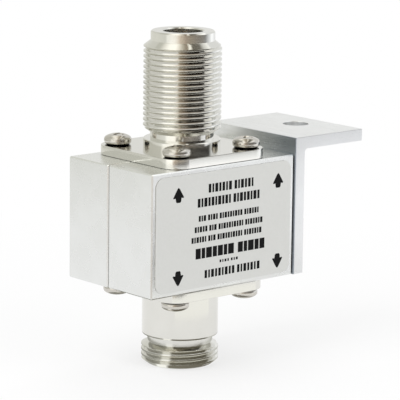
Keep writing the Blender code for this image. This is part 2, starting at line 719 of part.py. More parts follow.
def gas_tube():
    """A ceramic tube between two metal caps, whose stubs leave the spark gap inside it."""
    top = GAS_TUBE_TOP
    bottom = GAS_TUBE_BOTTOM
    middle = (top + bottom) / 2
    rim = GAS_TUBE_RADIUS - CAP_RIM_INSET
    tube = [
        (GAS_TUBE_BORE_RADIUS, top - CAP_THICKNESS - SEAT_GAP),
        (GAS_TUBE_RADIUS, top - CAP_THICKNESS - SEAT_GAP),
        (GAS_TUBE_RADIUS, bottom + CAP_THICKNESS + SEAT_GAP),
        (GAS_TUBE_BORE_RADIUS, bottom + CAP_THICKNESS + SEAT_GAP),
    ]
    line_cap = [
        (0.0, top),
        (rim, top),
        (rim, top - CAP_THICKNESS),
        (CAP_STUB_RADIUS, top - CAP_THICKNESS),
        (CAP_STUB_RADIUS, middle + SPARK_GAP / 2),
        (0.0, middle + SPARK_GAP / 2),
    ]
    ground_cap = [
        (0.0, middle - SPARK_GAP / 2),
        (CAP_STUB_RADIUS, middle - SPARK_GAP / 2),
        (CAP_STUB_RADIUS, bottom + CAP_THICKNESS),
        (rim, bottom + CAP_THICKNESS),
        (rim, bottom),
        (0.0, bottom),
    ]
    place_x = (-GAS_TUBE_OFFSET, 0, 0)
    finish(place(turned("gas_tube_ceramic", tube, SMALL_STEPS, ring=True), CERAMIC, place_x))
    finish(place(turned("gas_tube_line_cap", line_cap, SMALL_STEPS), NICKEL, place_x))
    finish(place(turned("gas_tube_ground_cap", ground_cap, SMALL_STEPS), NICKEL, place_x))


def ground_spring():
    """A bowed leaf between the pocket's floor and the gas tube's ground cap."""
    low = POCKET_FLOOR + SEAT_GAP
    rise = SPRING_HEIGHT - SPRING_THICKNESS
    upper = []
    lower = []
    for step in range(2 * SPRING_STEPS + 1):
        x = SPRING_SPAN * (step / (2 * SPRING_STEPS) - 0.5)
        height = low + rise * math.cos(math.pi * x / SPRING_SPAN)
        lower.append((x, height))
        upper.append((x, height + SPRING_THICKNESS))
    leaf = extruded_outline("ground_spring", upper + lower[::-1], SPRING_WIDTH)
    finish(place(leaf, SPRING_BRONZE, (-GAS_TUBE_OFFSET, 0, 0), (math.pi / 2, 0, 0)))


def drain_coil():
    """A wire coil from the strip to a post in the pocket's floor, with straight leads."""
    post_top = POCKET_FLOOR + POST_HEIGHT
    low = post_top + SEAT_GAP
    high = STRIP_UNDERSIDE - SEAT_GAP
    start = (low + high - COIL_TURNS * COIL_PITCH) / 2
    path = [(0.0, -COIL_RADIUS, low)]
    for step in range(COIL_TURNS * COIL_STEPS + 1):
        angle = step * 2 * math.pi / COIL_STEPS - math.pi / 2
        height = start + step * COIL_PITCH / COIL_STEPS
        path.append((COIL_RADIUS * math.cos(angle), COIL_RADIUS * math.sin(angle), height))
    path.append((0.0, -COIL_RADIUS, high))
    curve = bpy.data.curves.new("drain_coil", "CURVE")
    curve.dimensions = "3D"
    curve.bevel_depth = COIL_WIRE_RADIUS
    curve.bevel_resolution = 2
    curve.use_fill_caps = True
    spline = curve.splines.new("POLY")
    spline.points.add(len(path) - 1)
    for point, place_on_wire in zip(spline.points, path):
        point.co = (*place_on_wire, 1.0)
    finish(place(mesh_of(curve, "drain_coil"), ENAMELLED_WIRE, (COIL_OFFSET, 0, 0)))

    post = [
        (0.0, post_top),
        (POST_RADIUS, post_top),
        (POST_RADIUS, POCKET_FLOOR + SEAT_GAP),
        (POST_SHANK_RADIUS, POCKET_FLOOR + SEAT_GAP),
        (POST_SHANK_RADIUS, POCKET_FLOOR - POST_SHANK_LENGTH),
        (0.0, POCKET_FLOOR - POST_SHANK_LENGTH),
    ]
    post_place = (COIL_OFFSET, -COIL_RADIUS, 0)
    finish(place(turned("ground_post", post, SMALL_STEPS), NICKEL, post_place))


def main():
    housing()
    bracket()
    label()
    antenna_seat = HOUSING_TOP + SEAT_GAP
    equipment_seat = HOUSING_BASE - SEAT_GAP
    strip_top = STRIP_UNDERSIDE + STRIP_THICKNESS + SEAT_GAP
    pad_bottom = PAD_TOP - STRIP_THICKNESS - SEAT_GAP
    upright = (0, 0, 0)
    downward = (math.pi, 0, 0)
    connector("antenna", ANTENNA_REACH, antenna_profile(), antenna_seat, upright)
    connector("equipment", EQUIPMENT_REACH, equipment_profile(), equipment_seat, downward)
    insulator("antenna", ANTENNA_REACH, antenna_seat, upright)
    insulator("equipment", EQUIPMENT_REACH, equipment_seat, downward)
    contact("antenna", ANTENNA_REACH, strip_top - antenna_seat, antenna_seat, upright)
    contact("equipment", EQUIPMENT_REACH, equipment_seat - pad_bottom, equipment_seat, downward)
    sealing_ring("antenna", HOUSING_TOP - RING_SECTION_RADIUS)
    sealing_ring("equipment", HOUSING_BASE + RING_SECTION_RADIUS)
    screws()
    signal_path()
    gas_tube()
    ground_spring()
    drain_coil()


main()
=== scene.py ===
import math

import bmesh
import bpy
from mathutils import Matrix
from mathutils import Vector


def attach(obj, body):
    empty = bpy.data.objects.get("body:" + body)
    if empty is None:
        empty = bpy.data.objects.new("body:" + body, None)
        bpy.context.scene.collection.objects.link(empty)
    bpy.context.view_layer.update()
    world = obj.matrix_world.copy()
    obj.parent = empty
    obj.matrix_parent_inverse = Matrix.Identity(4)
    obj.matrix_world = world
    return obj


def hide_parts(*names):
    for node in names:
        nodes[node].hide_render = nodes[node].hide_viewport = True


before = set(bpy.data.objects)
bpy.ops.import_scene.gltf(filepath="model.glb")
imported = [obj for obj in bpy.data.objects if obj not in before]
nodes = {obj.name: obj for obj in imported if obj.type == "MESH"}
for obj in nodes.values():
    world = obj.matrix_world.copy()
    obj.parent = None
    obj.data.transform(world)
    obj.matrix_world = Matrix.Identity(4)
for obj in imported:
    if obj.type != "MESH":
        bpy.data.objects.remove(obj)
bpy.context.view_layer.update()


# The housing: two blocks milled from aluminium plate, with one pocket between them and every
# edge broken. The connectors' flanges hold the halves together, so only the seam shows. The
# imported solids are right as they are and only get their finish.

MM = 0.001


def linear(hex_colour):
    """An sRGB hex colour as linear red, green, blue and alpha."""
    channels = [int(hex_colour[place:place + 2], 16) / 255 for place in (1, 3, 5)]
    light = [c / 12.92 if c <= 0.04045 else ((c + 0.055) / 1.055) ** 2.4 for c in channels]
    return (*light, 1.0)


def plug(tree, node, inputs):
    """Gives a node's inputs plain values, or links from output sockets or nodes' first outputs."""
    for name, value in inputs.items():
        if isinstance(value, bpy.types.Node):
            value = value.outputs[0]
        if isinstance(value, bpy.types.NodeSocket):
            tree.links.new(value, node.inputs[name])
        else:
            node.inputs[name].default_value = value


def add_node(tree, kind, settings=None, inputs=None):
    """Adds a node with its settings, its inputs' values and its links."""
    node = tree.nodes.new(kind)
    for name, value in (settings or {}).items():
        setattr(node, name, value)
    plug(tree, node, inputs or {})
    return node


def new_finish(name, settings):
    """A material, its tree, its shader with what is the same all over, and Object coordinates."""
    material = bpy.data.materials.new(name)
    material.use_nodes = True
    tree = material.node_tree
    shader = tree.nodes["Principled BSDF"]
    plug(tree, shader, settings)
    return material, tree, shader, add_node(tree, "ShaderNodeTexCoord").outputs["Object"]


def lay_grain(tree, shader, where, noise, colours=None, relief=None, gloss=None, runs=None):
    """Lays a noise over a finish and gives the sockets it plugged in. The noise mixes two colours,
    raises the surface by a strength and a height, and runs between two roughnesses, as given. Runs
    are its sizes along X, Y and Z where it is drawn out into lines. A gloss may also give the
    noise's two ends, which are else 0.3 and 0.7."""
    if runs:
        scale = tuple(1 / run for run in runs)
        where = add_node(tree, "ShaderNodeMapping", None, {"Vector": where, "Scale": scale})
    grain = add_node(tree, "ShaderNodeTexNoise", None, {"Vector": where, **noise}).outputs["Fac"]
    made = {}
    if colours:
        mix = add_node(
            tree, "ShaderNodeMix", {"data_type": "RGBA"},
            {"Factor": grain, 6: linear(colours[0]), 7: linear(colours[1])},
        )
        made["Base Color"] = mix.outputs[2]
    if relief:
        bump = add_node(
            tree, "ShaderNodeBump", None,
            {"Height": grain, "Strength": relief[0], "Distance": relief[1]},
        )
        made["Normal"] = bump.outputs["Normal"]
    if gloss:
        ends = gloss[2:] or (0.3, 0.7)
        span = {"From Min": ends[0], "From Max": ends[1], "To Min": gloss[0], "To Max": gloss[1]}
        sheen = add_node(tree, "ShaderNodeMapRange", None, {"Value": grain, **span})
        made["Roughness"] = sheen.outputs["Result"]
    plug(tree, shader, made)
    return made


def finish_node(name, material):
    """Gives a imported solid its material."""
    nodes[name].data.materials.clear()
    nodes[name].data.materials.append(material)


# Milled and bead blasted aluminium: pale and satin, with a fine pebble grain, faint cutter lines
# along each side and slow changes of sheen. The real grain is about 0.1 mm, drawn at 0.3 mm.
BLAST_GRAIN = 0.3 * MM
CUTTER_LINE = 0.35 * MM
CUTTER_LINE_RUN = 9.0 * MM
SHEEN_PATCH = 7.0 * MM

milled_aluminium, tree, shader, where = new_finish("bead_blasted_aluminium", {"Metallic": 1.0})
lay_grain(
    tree, shader, where, {"Scale": 1 / SHEEN_PATCH, "Detail": 3.0, "Roughness": 0.55},
    colours=("#e2e3e1", "#ebeceb"), gloss=(0.3, 0.24),
)
stretched = add_node(
    tree, "ShaderNodeMapping", None,
    {"Vector": where, "Scale": (1 / CUTTER_LINE_RUN, 1 / CUTTER_LINE_RUN, 1 / CUTTER_LINE)},
)
lines = add_node(
    tree, "ShaderNodeTexNoise", None, {"Vector": stretched, "Scale": 1.0, "Detail": 2.0},
)
grain = add_node(
    tree, "ShaderNodeTexNoise", None,
    {"Vector": where, "Scale": 1 / BLAST_GRAIN, "Detail": 2.0, "Roughness": 0.6},
)
relief = add_node(
    tree, "ShaderNodeMath", {"operation": "MULTIPLY_ADD"}, {0: lines, 1: 0.5, 2: grain},
)
bump = add_node(
    tree, "ShaderNodeBump", None, {"Height": relief, "Strength": 0.25, "Distance": 0.02 * MM},
)
plug(tree, shader, {"Normal": bump})
finish_node("front_housing", milled_aluminium)
finish_node("rear_housing", milled_aluminium)


# The surge parts: a gas tube of white alumina between two nickelled caps, on a bowed bronze leaf;
# a dipped disc capacitor between a tinned strip and a tinned pad; and an enamelled wire coil that
# ends at a pressed-in post. All of them lie in the closed pocket and only get their finishes.


def mottled(name, settings, noise, colours, relief=None):
    """A finish that is one noise between two colours, with a relief where it is given."""
    material, tree, shader, where = new_finish(name, settings)
    lay_grain(tree, shader, where, noise, colours, relief)
    return material


# Tinned copper sheet: dull silver with a little copper showing through, in soft clouds where the
# tin flowed, about 2 mm across.
TIN_CLOUD = 2.0 * MM

tinned_copper = mottled(
    "hot_tinned_copper", {"Metallic": 1.0, "Roughness": 0.35},
    {"Scale": 1 / TIN_CLOUD, "Detail": 4.0}, ("#c9b9a8", "#d8d5cf"), (0.3, 0.03 * MM),
)
for name in ("antenna_strip", "equipment_pad"):
    finish_node(name, tinned_copper)

# Dipped coating on the disc capacitor: glossy orange-brown resin with a slight orange peel.
PEEL = 0.5 * MM

dipped_resin = mottled(
    "dipped_capacitor_resin", {"Roughness": 0.3},
    {"Scale": 1 / PEEL, "Detail": 1.0}, ("#a5571c", "#b9692a"), (0.4, 0.03 * MM),
)
finish_node("blocking_capacitor", dipped_resin)

# Fired alumina: chalky white with a fine sandy grain.
ALUMINA_GRAIN = 0.2 * MM

fired_alumina = mottled(
    "fired_alumina", {"Roughness": 0.6},
    {"Scale": 1 / ALUMINA_GRAIN, "Detail": 3.0}, ("#e6e3da", "#f2f0ea"), (0.3, 0.02 * MM),
)
finish_node("gas_tube_ceramic", fired_alumina)

# Rolled spring bronze: warm yellow metal with fine rolling lines across the leaf.
ROLLING_LINE = 0.2 * MM
ROLLING_LINE_RUN = 6.0 * MM

spring_bronze, tree, shader, where = new_finish("rolled_spring_bronze", {"Metallic": 1.0})
lay_grain(
    tree, shader, where, {"Scale": 1.0, "Detail": 3.0},
    colours=("#c29a5c", "#d3ad70"), gloss=(0.28, 0.42, 0.0, 1.0),
    runs=(ROLLING_LINE, ROLLING_LINE_RUN, ROLLING_LINE_RUN),
)
finish_node("ground_spring", spring_bronze)

# Enamelled copper wire: clear red-brown varnish over drawn wire, a little uneven in depth.
VARNISH_PATCH = 0.8 * MM

enamelled_wire = mottled(
    "enamelled_copper_wire", {"Metallic": 1.0, "Roughness": 0.25, "Coat Weight": 0.6},
    {"Scale": 1 / VARNISH_PATCH, "Detail": 2.0}, ("#8f3a18", "#ab5226"),
)
finish_node("drain_coil", enamelled_wire)


# The connector bodies: turned from brass bar in one piece with a milled square flange, then
# bright nickel plated. Each has a stepped bore and a 5/8 inch thread of 24 turns to the inch. The
# blank is turned first, then a geometry tree cuts the thread, and the flange is joined on.

AXIS_X = -9.45 * MM
AXIS_Y = 0.25 * MM
HOUSING_BASE = 17.9 * MM
HOUSING_TOP = 42.7 * MM
SEAT_GAP = 0.2 * MM
FLANGE_SIDE = 25.4 * MM
FLANGE_THICKNESS = 1.8 * MM
FLANGE_CORNER = 4.0 * MM
FLANGE_EDGE = 0.12 * MM
FLANGE_BEDDING = SEAT_GAP - 0.03 * MM
FLANGE_SCREW_SPACING = 18.26 * MM
SCREW_HOLE_RADIUS = 1.6 * MM
SCREW_HOLE_STEPS = 32
THREAD_RADIUS = 7.85 * MM
THREAD_PITCH = 25.4 / 24 * MM
THREAD_DEPTH = 0.58 * MM
THREAD_ROWS = 20
TURNED_STEPS = 128
CORNER_STEPS = 10
WELD = 0.001 * MM
CREASE = math.radians(32)
CORNERS = ((-1, -1), (1, -1), (1, 1), (-1, 1))
FLANGE_SCREWS = [(x * FLANGE_SCREW_SPACING / 2, y * FLANGE_SCREW_SPACING / 2) for x, y in CORNERS]

# Bright nickel over turned brass: a warm silver mirror with fine rings left by the tool, 0.1 mm
# apart and drawn at 0.18 mm, and slow changes of polish round the barrel.
TOOL_RING = 0.18 * MM
POLISH_PATCH = 4.0 * MM
DULL_RADIUS = 4.2 * MM
BRIGHT_RADIUS = 4.4 * MM

bright_nickel, tree, shader, where = new_finish("bright_nickel_plate", {"Metallic": 1.0})
polish = lay_grain(
    tree, shader, where, {"Scale": 1 / POLISH_PATCH, "Detail": 3.0},
    colours=("#dddcd6", "#e4e3de"), gloss=(0.09, 0.15),
)
from_axis = add_node(
    tree, "ShaderNodeMapping", None, {"Vector": where, "Location": (-AXIS_X, -AXIS_Y, 0.0)},
)
parts = add_node(tree, "ShaderNodeSeparateXYZ", None, {"Vector": from_axis})
across = add_node(
    tree, "ShaderNodeCombineXYZ", None, {"X": parts.outputs["X"], "Y": parts.outputs["Y"]},
)
radius = add_node(tree, "ShaderNodeVectorMath", {"operation": "LENGTH"}, {0: across})
ring_place = add_node(
    tree, "ShaderNodeCombineXYZ", None, {"X": radius.outputs["Value"], "Y": parts.outputs["Z"]},
)
rings = add_node(
    tree, "ShaderNodeTexNoise", {"noise_dimensions": "2D"},
    {"Vector": ring_place, "Scale": 1 / TOOL_RING, "Detail": 2.0},
)
bump = add_node(
    tree, "ShaderNodeBump", None,
    {"Height": rings, "Strength": 0.12, "Distance": 0.01 * MM},
)
# The bores are duller: little of the plating bath reaches in there.
dullness = add_node(tree, "ShaderNodeMapRange", None, {
    "Value": radius.outputs["Value"], "From Min": DULL_RADIUS, "From Max": BRIGHT_RADIUS,
    "To Min": 0.08, "To Max": 0.0,
})
roughness = add_node(
    tree, "ShaderNodeMath", {"operation": "ADD"},
    {0: polish["Roughness"], 1: dullness},
)
plug(tree, shader, {"Roughness": roughness.outputs["Value"], "Normal": bump})


def add_object(name, data):
    """A new object in the scene with its mesh, camera or lamp."""
    obj = bpy.data.objects.new(name, data)
    bpy.context.scene.collection.objects.link(obj)
    return obj


def mesh_object(name, shape):
    """An object made from a bmesh, with its doubles merged and its faces pointing outwards."""
    bmesh.ops.remove_doubles(shape, verts=shape.verts, dist=WELD)
    bmesh.ops.recalc_face_normals(shape, faces=shape.faces)
    mesh = bpy.data.meshes.new(name)
    shape.to_mesh(mesh)
    shape.free()
    return add_object(name, mesh)


def turn_profile(shape, profile, steps):
    """Turns (radius, height) points about Z into a skin. Its ends stay open unless on the axis."""
    angles = [2 * math.pi * step / steps for step in range(steps)]
    rings = []
    for radius, height in profile:
        if radius == 0:
            rings.append([shape.verts.new((0, 0, height))] * steps)
        else:
            places = [(radius * math.cos(a), radius * math.sin(a), height) for a in angles]
            rings.append([shape.verts.new(place) for place in places])
    for upper, lower in zip(rings, rings[1:]):
        for step in range(steps):
            after = (step + 1) % steps
            corners = dict.fromkeys((upper[step], lower[step], lower[after], upper[after]))
            shape.faces.new(list(corners))


def settle(obj):
    """Turns an object's modifiers into its plain mesh."""
    graph = bpy.context.evaluated_depsgraph_get()
    mesh = bpy.data.meshes.new_from_object(obj.evaluated_get(graph))
    mesh.name = obj.name
    obj.modifiers.clear()
    obj.data = mesh


def combine(obj, other, operation):
    """Joins the other object to this one, or cuts it away, and removes it."""
    modifier = obj.modifiers.new("combine", "BOOLEAN")
    modifier.operation = operation
    modifier.solver = "EXACT"
    modifier.object = other
    settle(obj)
    bpy.data.objects.remove(other)


def dress(obj, material, replaced):
    """Gives a piece its material, crisp flat faces beside its round ones, and its solids' place."""
    obj.data.materials.clear()
    obj.data.materials.append(material)
    obj.data.shade_smooth()
    obj.data.set_sharp_from_angle(angle=CREASE)
    modifier = obj.modifiers.new("flat_faces_lead", "WEIGHTED_NORMAL")
    modifier.mode = "FACE_AREA"
    modifier.keep_sharp = True
    settle(obj)
    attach(obj, "root")
    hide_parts(*replaced)


def rounded_slab(name, width, height, thickness, corner, edge):
    """A slab lying on Z = 0 with round corners and its edges broken."""
    shape = bmesh.new()
    bmesh.ops.create_cube(shape, size=1.0)
    bmesh.ops.scale(shape, vec=(width, height, thickness), verts=shape.verts)
    bmesh.ops.translate(shape, vec=(0, 0, thickness / 2), verts=shape.verts)
    upright = [e for e in shape.edges if abs(e.verts[0].co.z - e.verts[1].co.z) > thickness / 2]
    bmesh.ops.bevel(
        shape, geom=upright, offset=corner, segments=CORNER_STEPS, profile=0.5, affect="EDGES",
    )
    rims = [
        e for e in shape.edges
        if abs(e.verts[0].co.z - e.verts[1].co.z) < thickness / 2 and len(e.link_faces) == 2
    ]
    bmesh.ops.bevel(shape, geom=rims, offset=edge, segments=2, profile=0.5, affect="EDGES")
    return mesh_object(name, shape)


def new_tree(name, inputs):
    """A geometry tree with named inputs and one geometry output, and its input sockets."""
    tree = bpy.data.node_groups.new(name, "GeometryNodeTree")
    tree.is_modifier = True
    for label, kind in inputs.items():
        tree.interface.new_socket(label, in_out="INPUT", socket_type="NodeSocket" + kind)
    tree.interface.new_socket("Geometry", in_out="OUTPUT", socket_type="NodeSocketGeometry")
    return tree, add_node(tree, "NodeGroupInput").outputs


def end_tree(tree, shape, material):
    """Ends a tree: what it made becomes one mesh, gets its material and goes out."""
    realised = add_node(tree, "GeometryNodeRealizeInstances", None, {"Geometry": shape})
    finished = add_node(
        tree, "GeometryNodeSetMaterial", None,
        {"Geometry": realised, "Material": material},
    )
    add_node(tree, "NodeGroupOutput", None, {"Geometry": finished})


thread_cutter, given = new_tree("threaded_sleeve", {
    "Steps Around": "Int", "Rows a Turn": "Int", "Pitch": "Float", "Crest Radius": "Float",
    "Groove Depth": "Float", "Start Height": "Float", "Start Radius": "Float",
    "Start Cone": "Float", "End Height": "Float", "End Radius": "Float", "End Cone": "Float",
    "Material": "Material",
})
flat_place = add_node(thread_cutter, "GeometryNodeInputPosition")
flat = add_node(thread_cutter, "ShaderNodeSeparateXYZ", None, {"Vector": flat_place})
known = {socket.name: socket for socket in given}
known.update({"flat x": flat.outputs["X"], "flat y": flat.outputs["Y"]})
# A flat sheet is rolled into the thread. Each line says what it works out, the operation, and
# the numbers or earlier results that go in.
NOT_PLAIN_MATHS = {
    "RANGE": ("ShaderNodeMapRange", {}), "OPEN_RANGE": ("ShaderNodeMapRange", {"clamp": False}),
    "CLAMP": ("ShaderNodeClamp", {}),
}
for result, operation, *terms in (
    ("length", "SUBTRACT", "End Height", "Start Height"),
    ("turns", "DIVIDE", "length", "Pitch"),
    # One turn more than the length holds, because each row climbs by a turn on its way round.
    ("all turns", "ADD", "turns", 1.0),
    ("all rows", "MULTIPLY", "all turns", "Rows a Turn"),
    ("whole rows", "CEIL", "all rows"),
    ("points up", "ADD", "whole rows", 1.0),
    ("points round", "ADD", "Steps Around", 1.0),
    ("share round", "ADD", "flat x", 0.5),
    ("share up", "ADD", "flat y", 0.5),
    ("row", "MULTIPLY", "share up", "whole rows"),
    ("row turn", "DIVIDE", "row", "Rows a Turn"),
    ("phase", "FRACT", "row turn"),
    ("centred", "MULTIPLY_ADD", "phase", 2.0, -1.0),
    ("ridge", "ABSOLUTE", "centred"),
    # A flat of 0.3 of the pitch at the crest and none at the root, with round corners.
    ("straight", "OPEN_RANGE", "ridge", 0.0, 0.7, 1.0, 0.0),
    ("groove", "SMOOTH_MAX", "straight", 0.0, 0.06),
    ("cut", "MULTIPLY", "groove", "Groove Depth"),
    ("thread radius", "SUBTRACT", "Crest Radius", "cut"),
    ("climbed", "ADD", "row turn", "share round"),
    ("from start", "SUBTRACT", "climbed", 1.0),
    ("raised", "MULTIPLY_ADD", "from start", "Pitch", "Start Height"),
    ("height", "CLAMP", "raised", "Start Height", "End Height"),
    ("start top", "ADD", "Start Height", "Start Cone"),
    ("start cone", "RANGE", "height", "Start Height", "start top", "Start Radius", "Crest Radius"),
    ("end foot", "SUBTRACT", "End Height", "End Cone"),
    ("end cone", "RANGE", "height", "end foot", "End Height", "Crest Radius", "End Radius"),
    ("cones", "MINIMUM", "start cone", "end cone"),
    ("cut radius", "MINIMUM", "thread radius", "cones"),
    ("angle", "MULTIPLY", "share round", 2 * math.pi),
    ("cosine", "COSINE", "angle"),
    ("sine", "SINE", "angle"),
    ("place x", "MULTIPLY", "cut radius", "cosine"),
    ("place y", "MULTIPLY", "cut radius", "sine"),
):
    kind, settings = NOT_PLAIN_MATHS.get(operation, ("ShaderNodeMath", {"operation": operation}))
    inputs = {number: known.get(term, term) for number, term in enumerate(terms)}
    known[result] = add_node(thread_cutter, kind, settings, inputs).outputs[0]
sheet = add_node(thread_cutter, "GeometryNodeMeshGrid", None, {
    "Size X": 1.0, "Size Y": 1.0,
    "Vertices X": known["points round"], "Vertices Y": known["points up"],
})
round_place = add_node(
    thread_cutter, "ShaderNodeCombineXYZ", None,
    {"X": known["place x"], "Y": known["place y"], "Z": known["height"]},
)
rolled = add_node(
    thread_cutter, "GeometryNodeSetPosition", None,
    {"Geometry": sheet.outputs["Mesh"], "Position": round_place},
)
welded = add_node(
    thread_cutter, "GeometryNodeMergeByDistance", None,
    {"Geometry": rolled, "Distance": WELD},
)
end_tree(thread_cutter, welded.outputs[0], given["Material"])


def run_tree(obj, tree, values):
    """Runs a geometry tree on an object with the named inputs, and leaves the plain mesh."""
    modifier = obj.modifiers.new(tree.name, "NODES")
    modifier.node_group = tree
    identifiers = {
        item.name: item.identifier for item in tree.interface.items_tree if item.in_out == "INPUT"
    }
    for name, value in values.items():
        modifier[identifiers[name]] = value
    settle(obj)


def connector_body(name, blank, sleeve, turn):
    """A body: turned blank and cut thread, joined to its flange, with the flange's screw holes."""
    barrel = add_object(name + "_sleeve", bpy.data.meshes.new(name + "_sleeve"))
    shared = {
        "Steps Around": TURNED_STEPS, "Rows a Turn": THREAD_ROWS, "Pitch": THREAD_PITCH,
        "Crest Radius": THREAD_RADIUS, "Groove Depth": THREAD_DEPTH, "Material": bright_nickel,
    }
    run_tree(barrel, thread_cutter, {**shared, **sleeve})
    shape = bmesh.new()
    shape.from_mesh(barrel.data)
    bpy.data.objects.remove(barrel)
    turn_profile(shape, blank, TURNED_STEPS)
    barrel = mesh_object(name + "_barrel", shape)
    body = rounded_slab(
        name, FLANGE_SIDE, FLANGE_SIDE, FLANGE_THICKNESS + FLANGE_BEDDING,
        FLANGE_CORNER, FLANGE_EDGE,
    )
    body.data.transform(Matrix.Translation((0, 0, -FLANGE_BEDDING)))
    drills = bmesh.new()
    for x, y in FLANGE_SCREWS:
        bmesh.ops.create_cone(
            drills, cap_ends=True, segments=SCREW_HOLE_STEPS, radius1=SCREW_HOLE_RADIUS,
            radius2=SCREW_HOLE_RADIUS, depth=3 * FLANGE_THICKNESS,
            matrix=Matrix.Translation((x, y, 0)),
        )
    combine(body, mesh_object(name + "_drills", drills), "DIFFERENCE")
    combine(body, barrel, "UNION")
    body.data.transform(turn)
    return body


NOSE_RADIUS = 6.45 * MM
NECK_RADIUS = 6.4 * MM
SOCKET_RADIUS = 4.05 * MM
MOUTH_EDGE = 0.25 * MM
SOCKET_DEPTH = 9.1 * MM
BEAD_BORE = 3.5 * MM
COLLAR_BORE = 4.4 * MM
COLLAR_TOP = -0.4 * MM
PILOT_RADIUS = 6.0 * MM
PILOT_END = -3.0 * MM
ANTENNA_REACH = 25.1 * MM
ANTENNA_THREAD_END = 23.2 * MM
ANTENNA_SEAT = Matrix.Translation((AXIS_X, AXIS_Y, HOUSING_TOP + SEAT_GAP))
EQUIPMENT_REACH = 17.7 * MM
EQUIPMENT_NECK = 6.6 * MM
EQUIPMENT_MOUTH = 6.5 * MM
EQUIPMENT_SEAT = (
    Matrix.Translation((AXIS_X, AXIS_Y, HOUSING_BASE - SEAT_GAP)) @ Matrix.Rotation(math.pi, 4, "X")
)


def bore_profile(reach):
    """The stepped bore from the socket's mouth to the pilot, and the pilot up into the flange."""
    return [
        (SOCKET_RADIUS + MOUTH_EDGE, reach),
        (SOCKET_RADIUS, reach - MOUTH_EDGE),
        (SOCKET_RADIUS, reach - SOCKET_DEPTH),
        (BEAD_BORE, reach - SOCKET_DEPTH),
        (BEAD_BORE, COLLAR_TOP),
        (COLLAR_BORE, COLLAR_TOP),
        (COLLAR_BORE, PILOT_END),
        (PILOT_RADIUS, PILOT_END),
        (PILOT_RADIUS, FLANGE_THICKNESS / 2),
    ]


antenna_body = connector_body(
    "antenna_connector_body",
    [
        (NOSE_RADIUS, ANTENNA_THREAD_END),
        (NOSE_RADIUS, ANTENNA_REACH - MOUTH_EDGE),
        (NOSE_RADIUS - MOUTH_EDGE, ANTENNA_REACH),
        *bore_profile(ANTENNA_REACH),
        (7.8 * MM, FLANGE_THICKNESS / 2),
        (7.8 * MM, 3.3 * MM),
        (7.65 * MM, 3.45 * MM),
        (NECK_RADIUS, 3.45 * MM),
        (NECK_RADIUS, 4.7 * MM),
    ],
    {
        "Start Height": 4.7 * MM, "Start Radius": NECK_RADIUS, "Start Cone": 1.0 * MM,
        "End Height": ANTENNA_THREAD_END, "End Radius": NOSE_RADIUS, "End Cone": 1.1 * MM,
    },
    ANTENNA_SEAT,
)
dress(antenna_body, bright_nickel, ["antenna_connector"])

equipment_body = connector_body(
    "equipment_connector_body",
    [
        (EQUIPMENT_MOUTH, EQUIPMENT_REACH),
        *bore_profile(EQUIPMENT_REACH),
        (7.75 * MM, FLANGE_THICKNESS / 2),
        (7.75 * MM, 11.2 * MM),
        (7.75 * MM, 11.25 * MM),
        (7.65 * MM, 11.5 * MM),
        (7.4 * MM, 11.6 * MM),
        (EQUIPMENT_NECK, 11.6 * MM),
        (EQUIPMENT_NECK, 13.1 * MM),
    ],
    {
        "Start Height": 13.1 * MM, "Start Radius": EQUIPMENT_NECK, "Start Cone": 0.6 * MM,
        "End Height": EQUIPMENT_REACH, "End Radius": EQUIPMENT_MOUTH, "End Cone": 1.0 * MM,
    },
    EQUIPMENT_SEAT,
)
dress(equipment_body, bright_nickel, ["equipment_connector"])

for name in ("gas_tube_line_cap", "gas_tube_ground_cap", "ground_post"):
    finish_node(name, bright_nickel)


# The beads and the contacts: a turned white fluoropolymer bead in each bore holds a gold-plated
# beryllium copper socket contact with four spring fingers. The contacts are turned again here
# with finer steps, and their slots are sawn.

# Turned fluoropolymer: waxy white, with soft tool rings and a little light let in.
BEAD_MOTTLE = 1.2 * MM

turned_fluoropolymer = mottled(
    "turned_white_fluoropolymer",
    {"Roughness": 0.4, "Subsurface Weight": 0.2, "Subsurface Scale": 0.5 * MM, "IOR": 1.36},
    {"Scale": 1 / BEAD_MOTTLE, "Detail": 3.0}, ("#e4e3dd", "#f1f0ec"), (0.15, 0.02 * MM),
)
for name in ("antenna_insulator", "equipment_insulator"):
    finish_node(name, turned_fluoropolymer)

# Gold plate over beryllium copper: rich yellow, bright, faintly brushed where plugs have slid in.
SLIDE_MARK = 0.15 * MM
SLIDE_MARK_RUN = 2.5 * MM

gold_plate, tree, shader, where = new_finish("gold_plated_contact", {"Metallic": 1.0})
lay_grain(
    tree, shader, where, {"Scale": 1.0, "Detail": 2.0},
    colours=("#e0b25a", "#efc97c"), gloss=(0.16, 0.3),
    runs=(SLIDE_MARK, SLIDE_MARK, SLIDE_MARK_RUN),
)

CONTACT_RADIUS = 1.525 * MM
CONTACT_BORE = 0.83 * MM
CONTACT_RECESS = 4.5 * MM
CONTACT_EDGE = 0.2 * MM
CONTACT_SLOT = 0.4 * MM
STEM_RADIUS = 0.75 * MM
STEM_END = -10.5 * MM
TIP_FLARE = 0.12 * MM
TIP_ROUND = 0.06 * MM
CONTACT_STEPS = 64


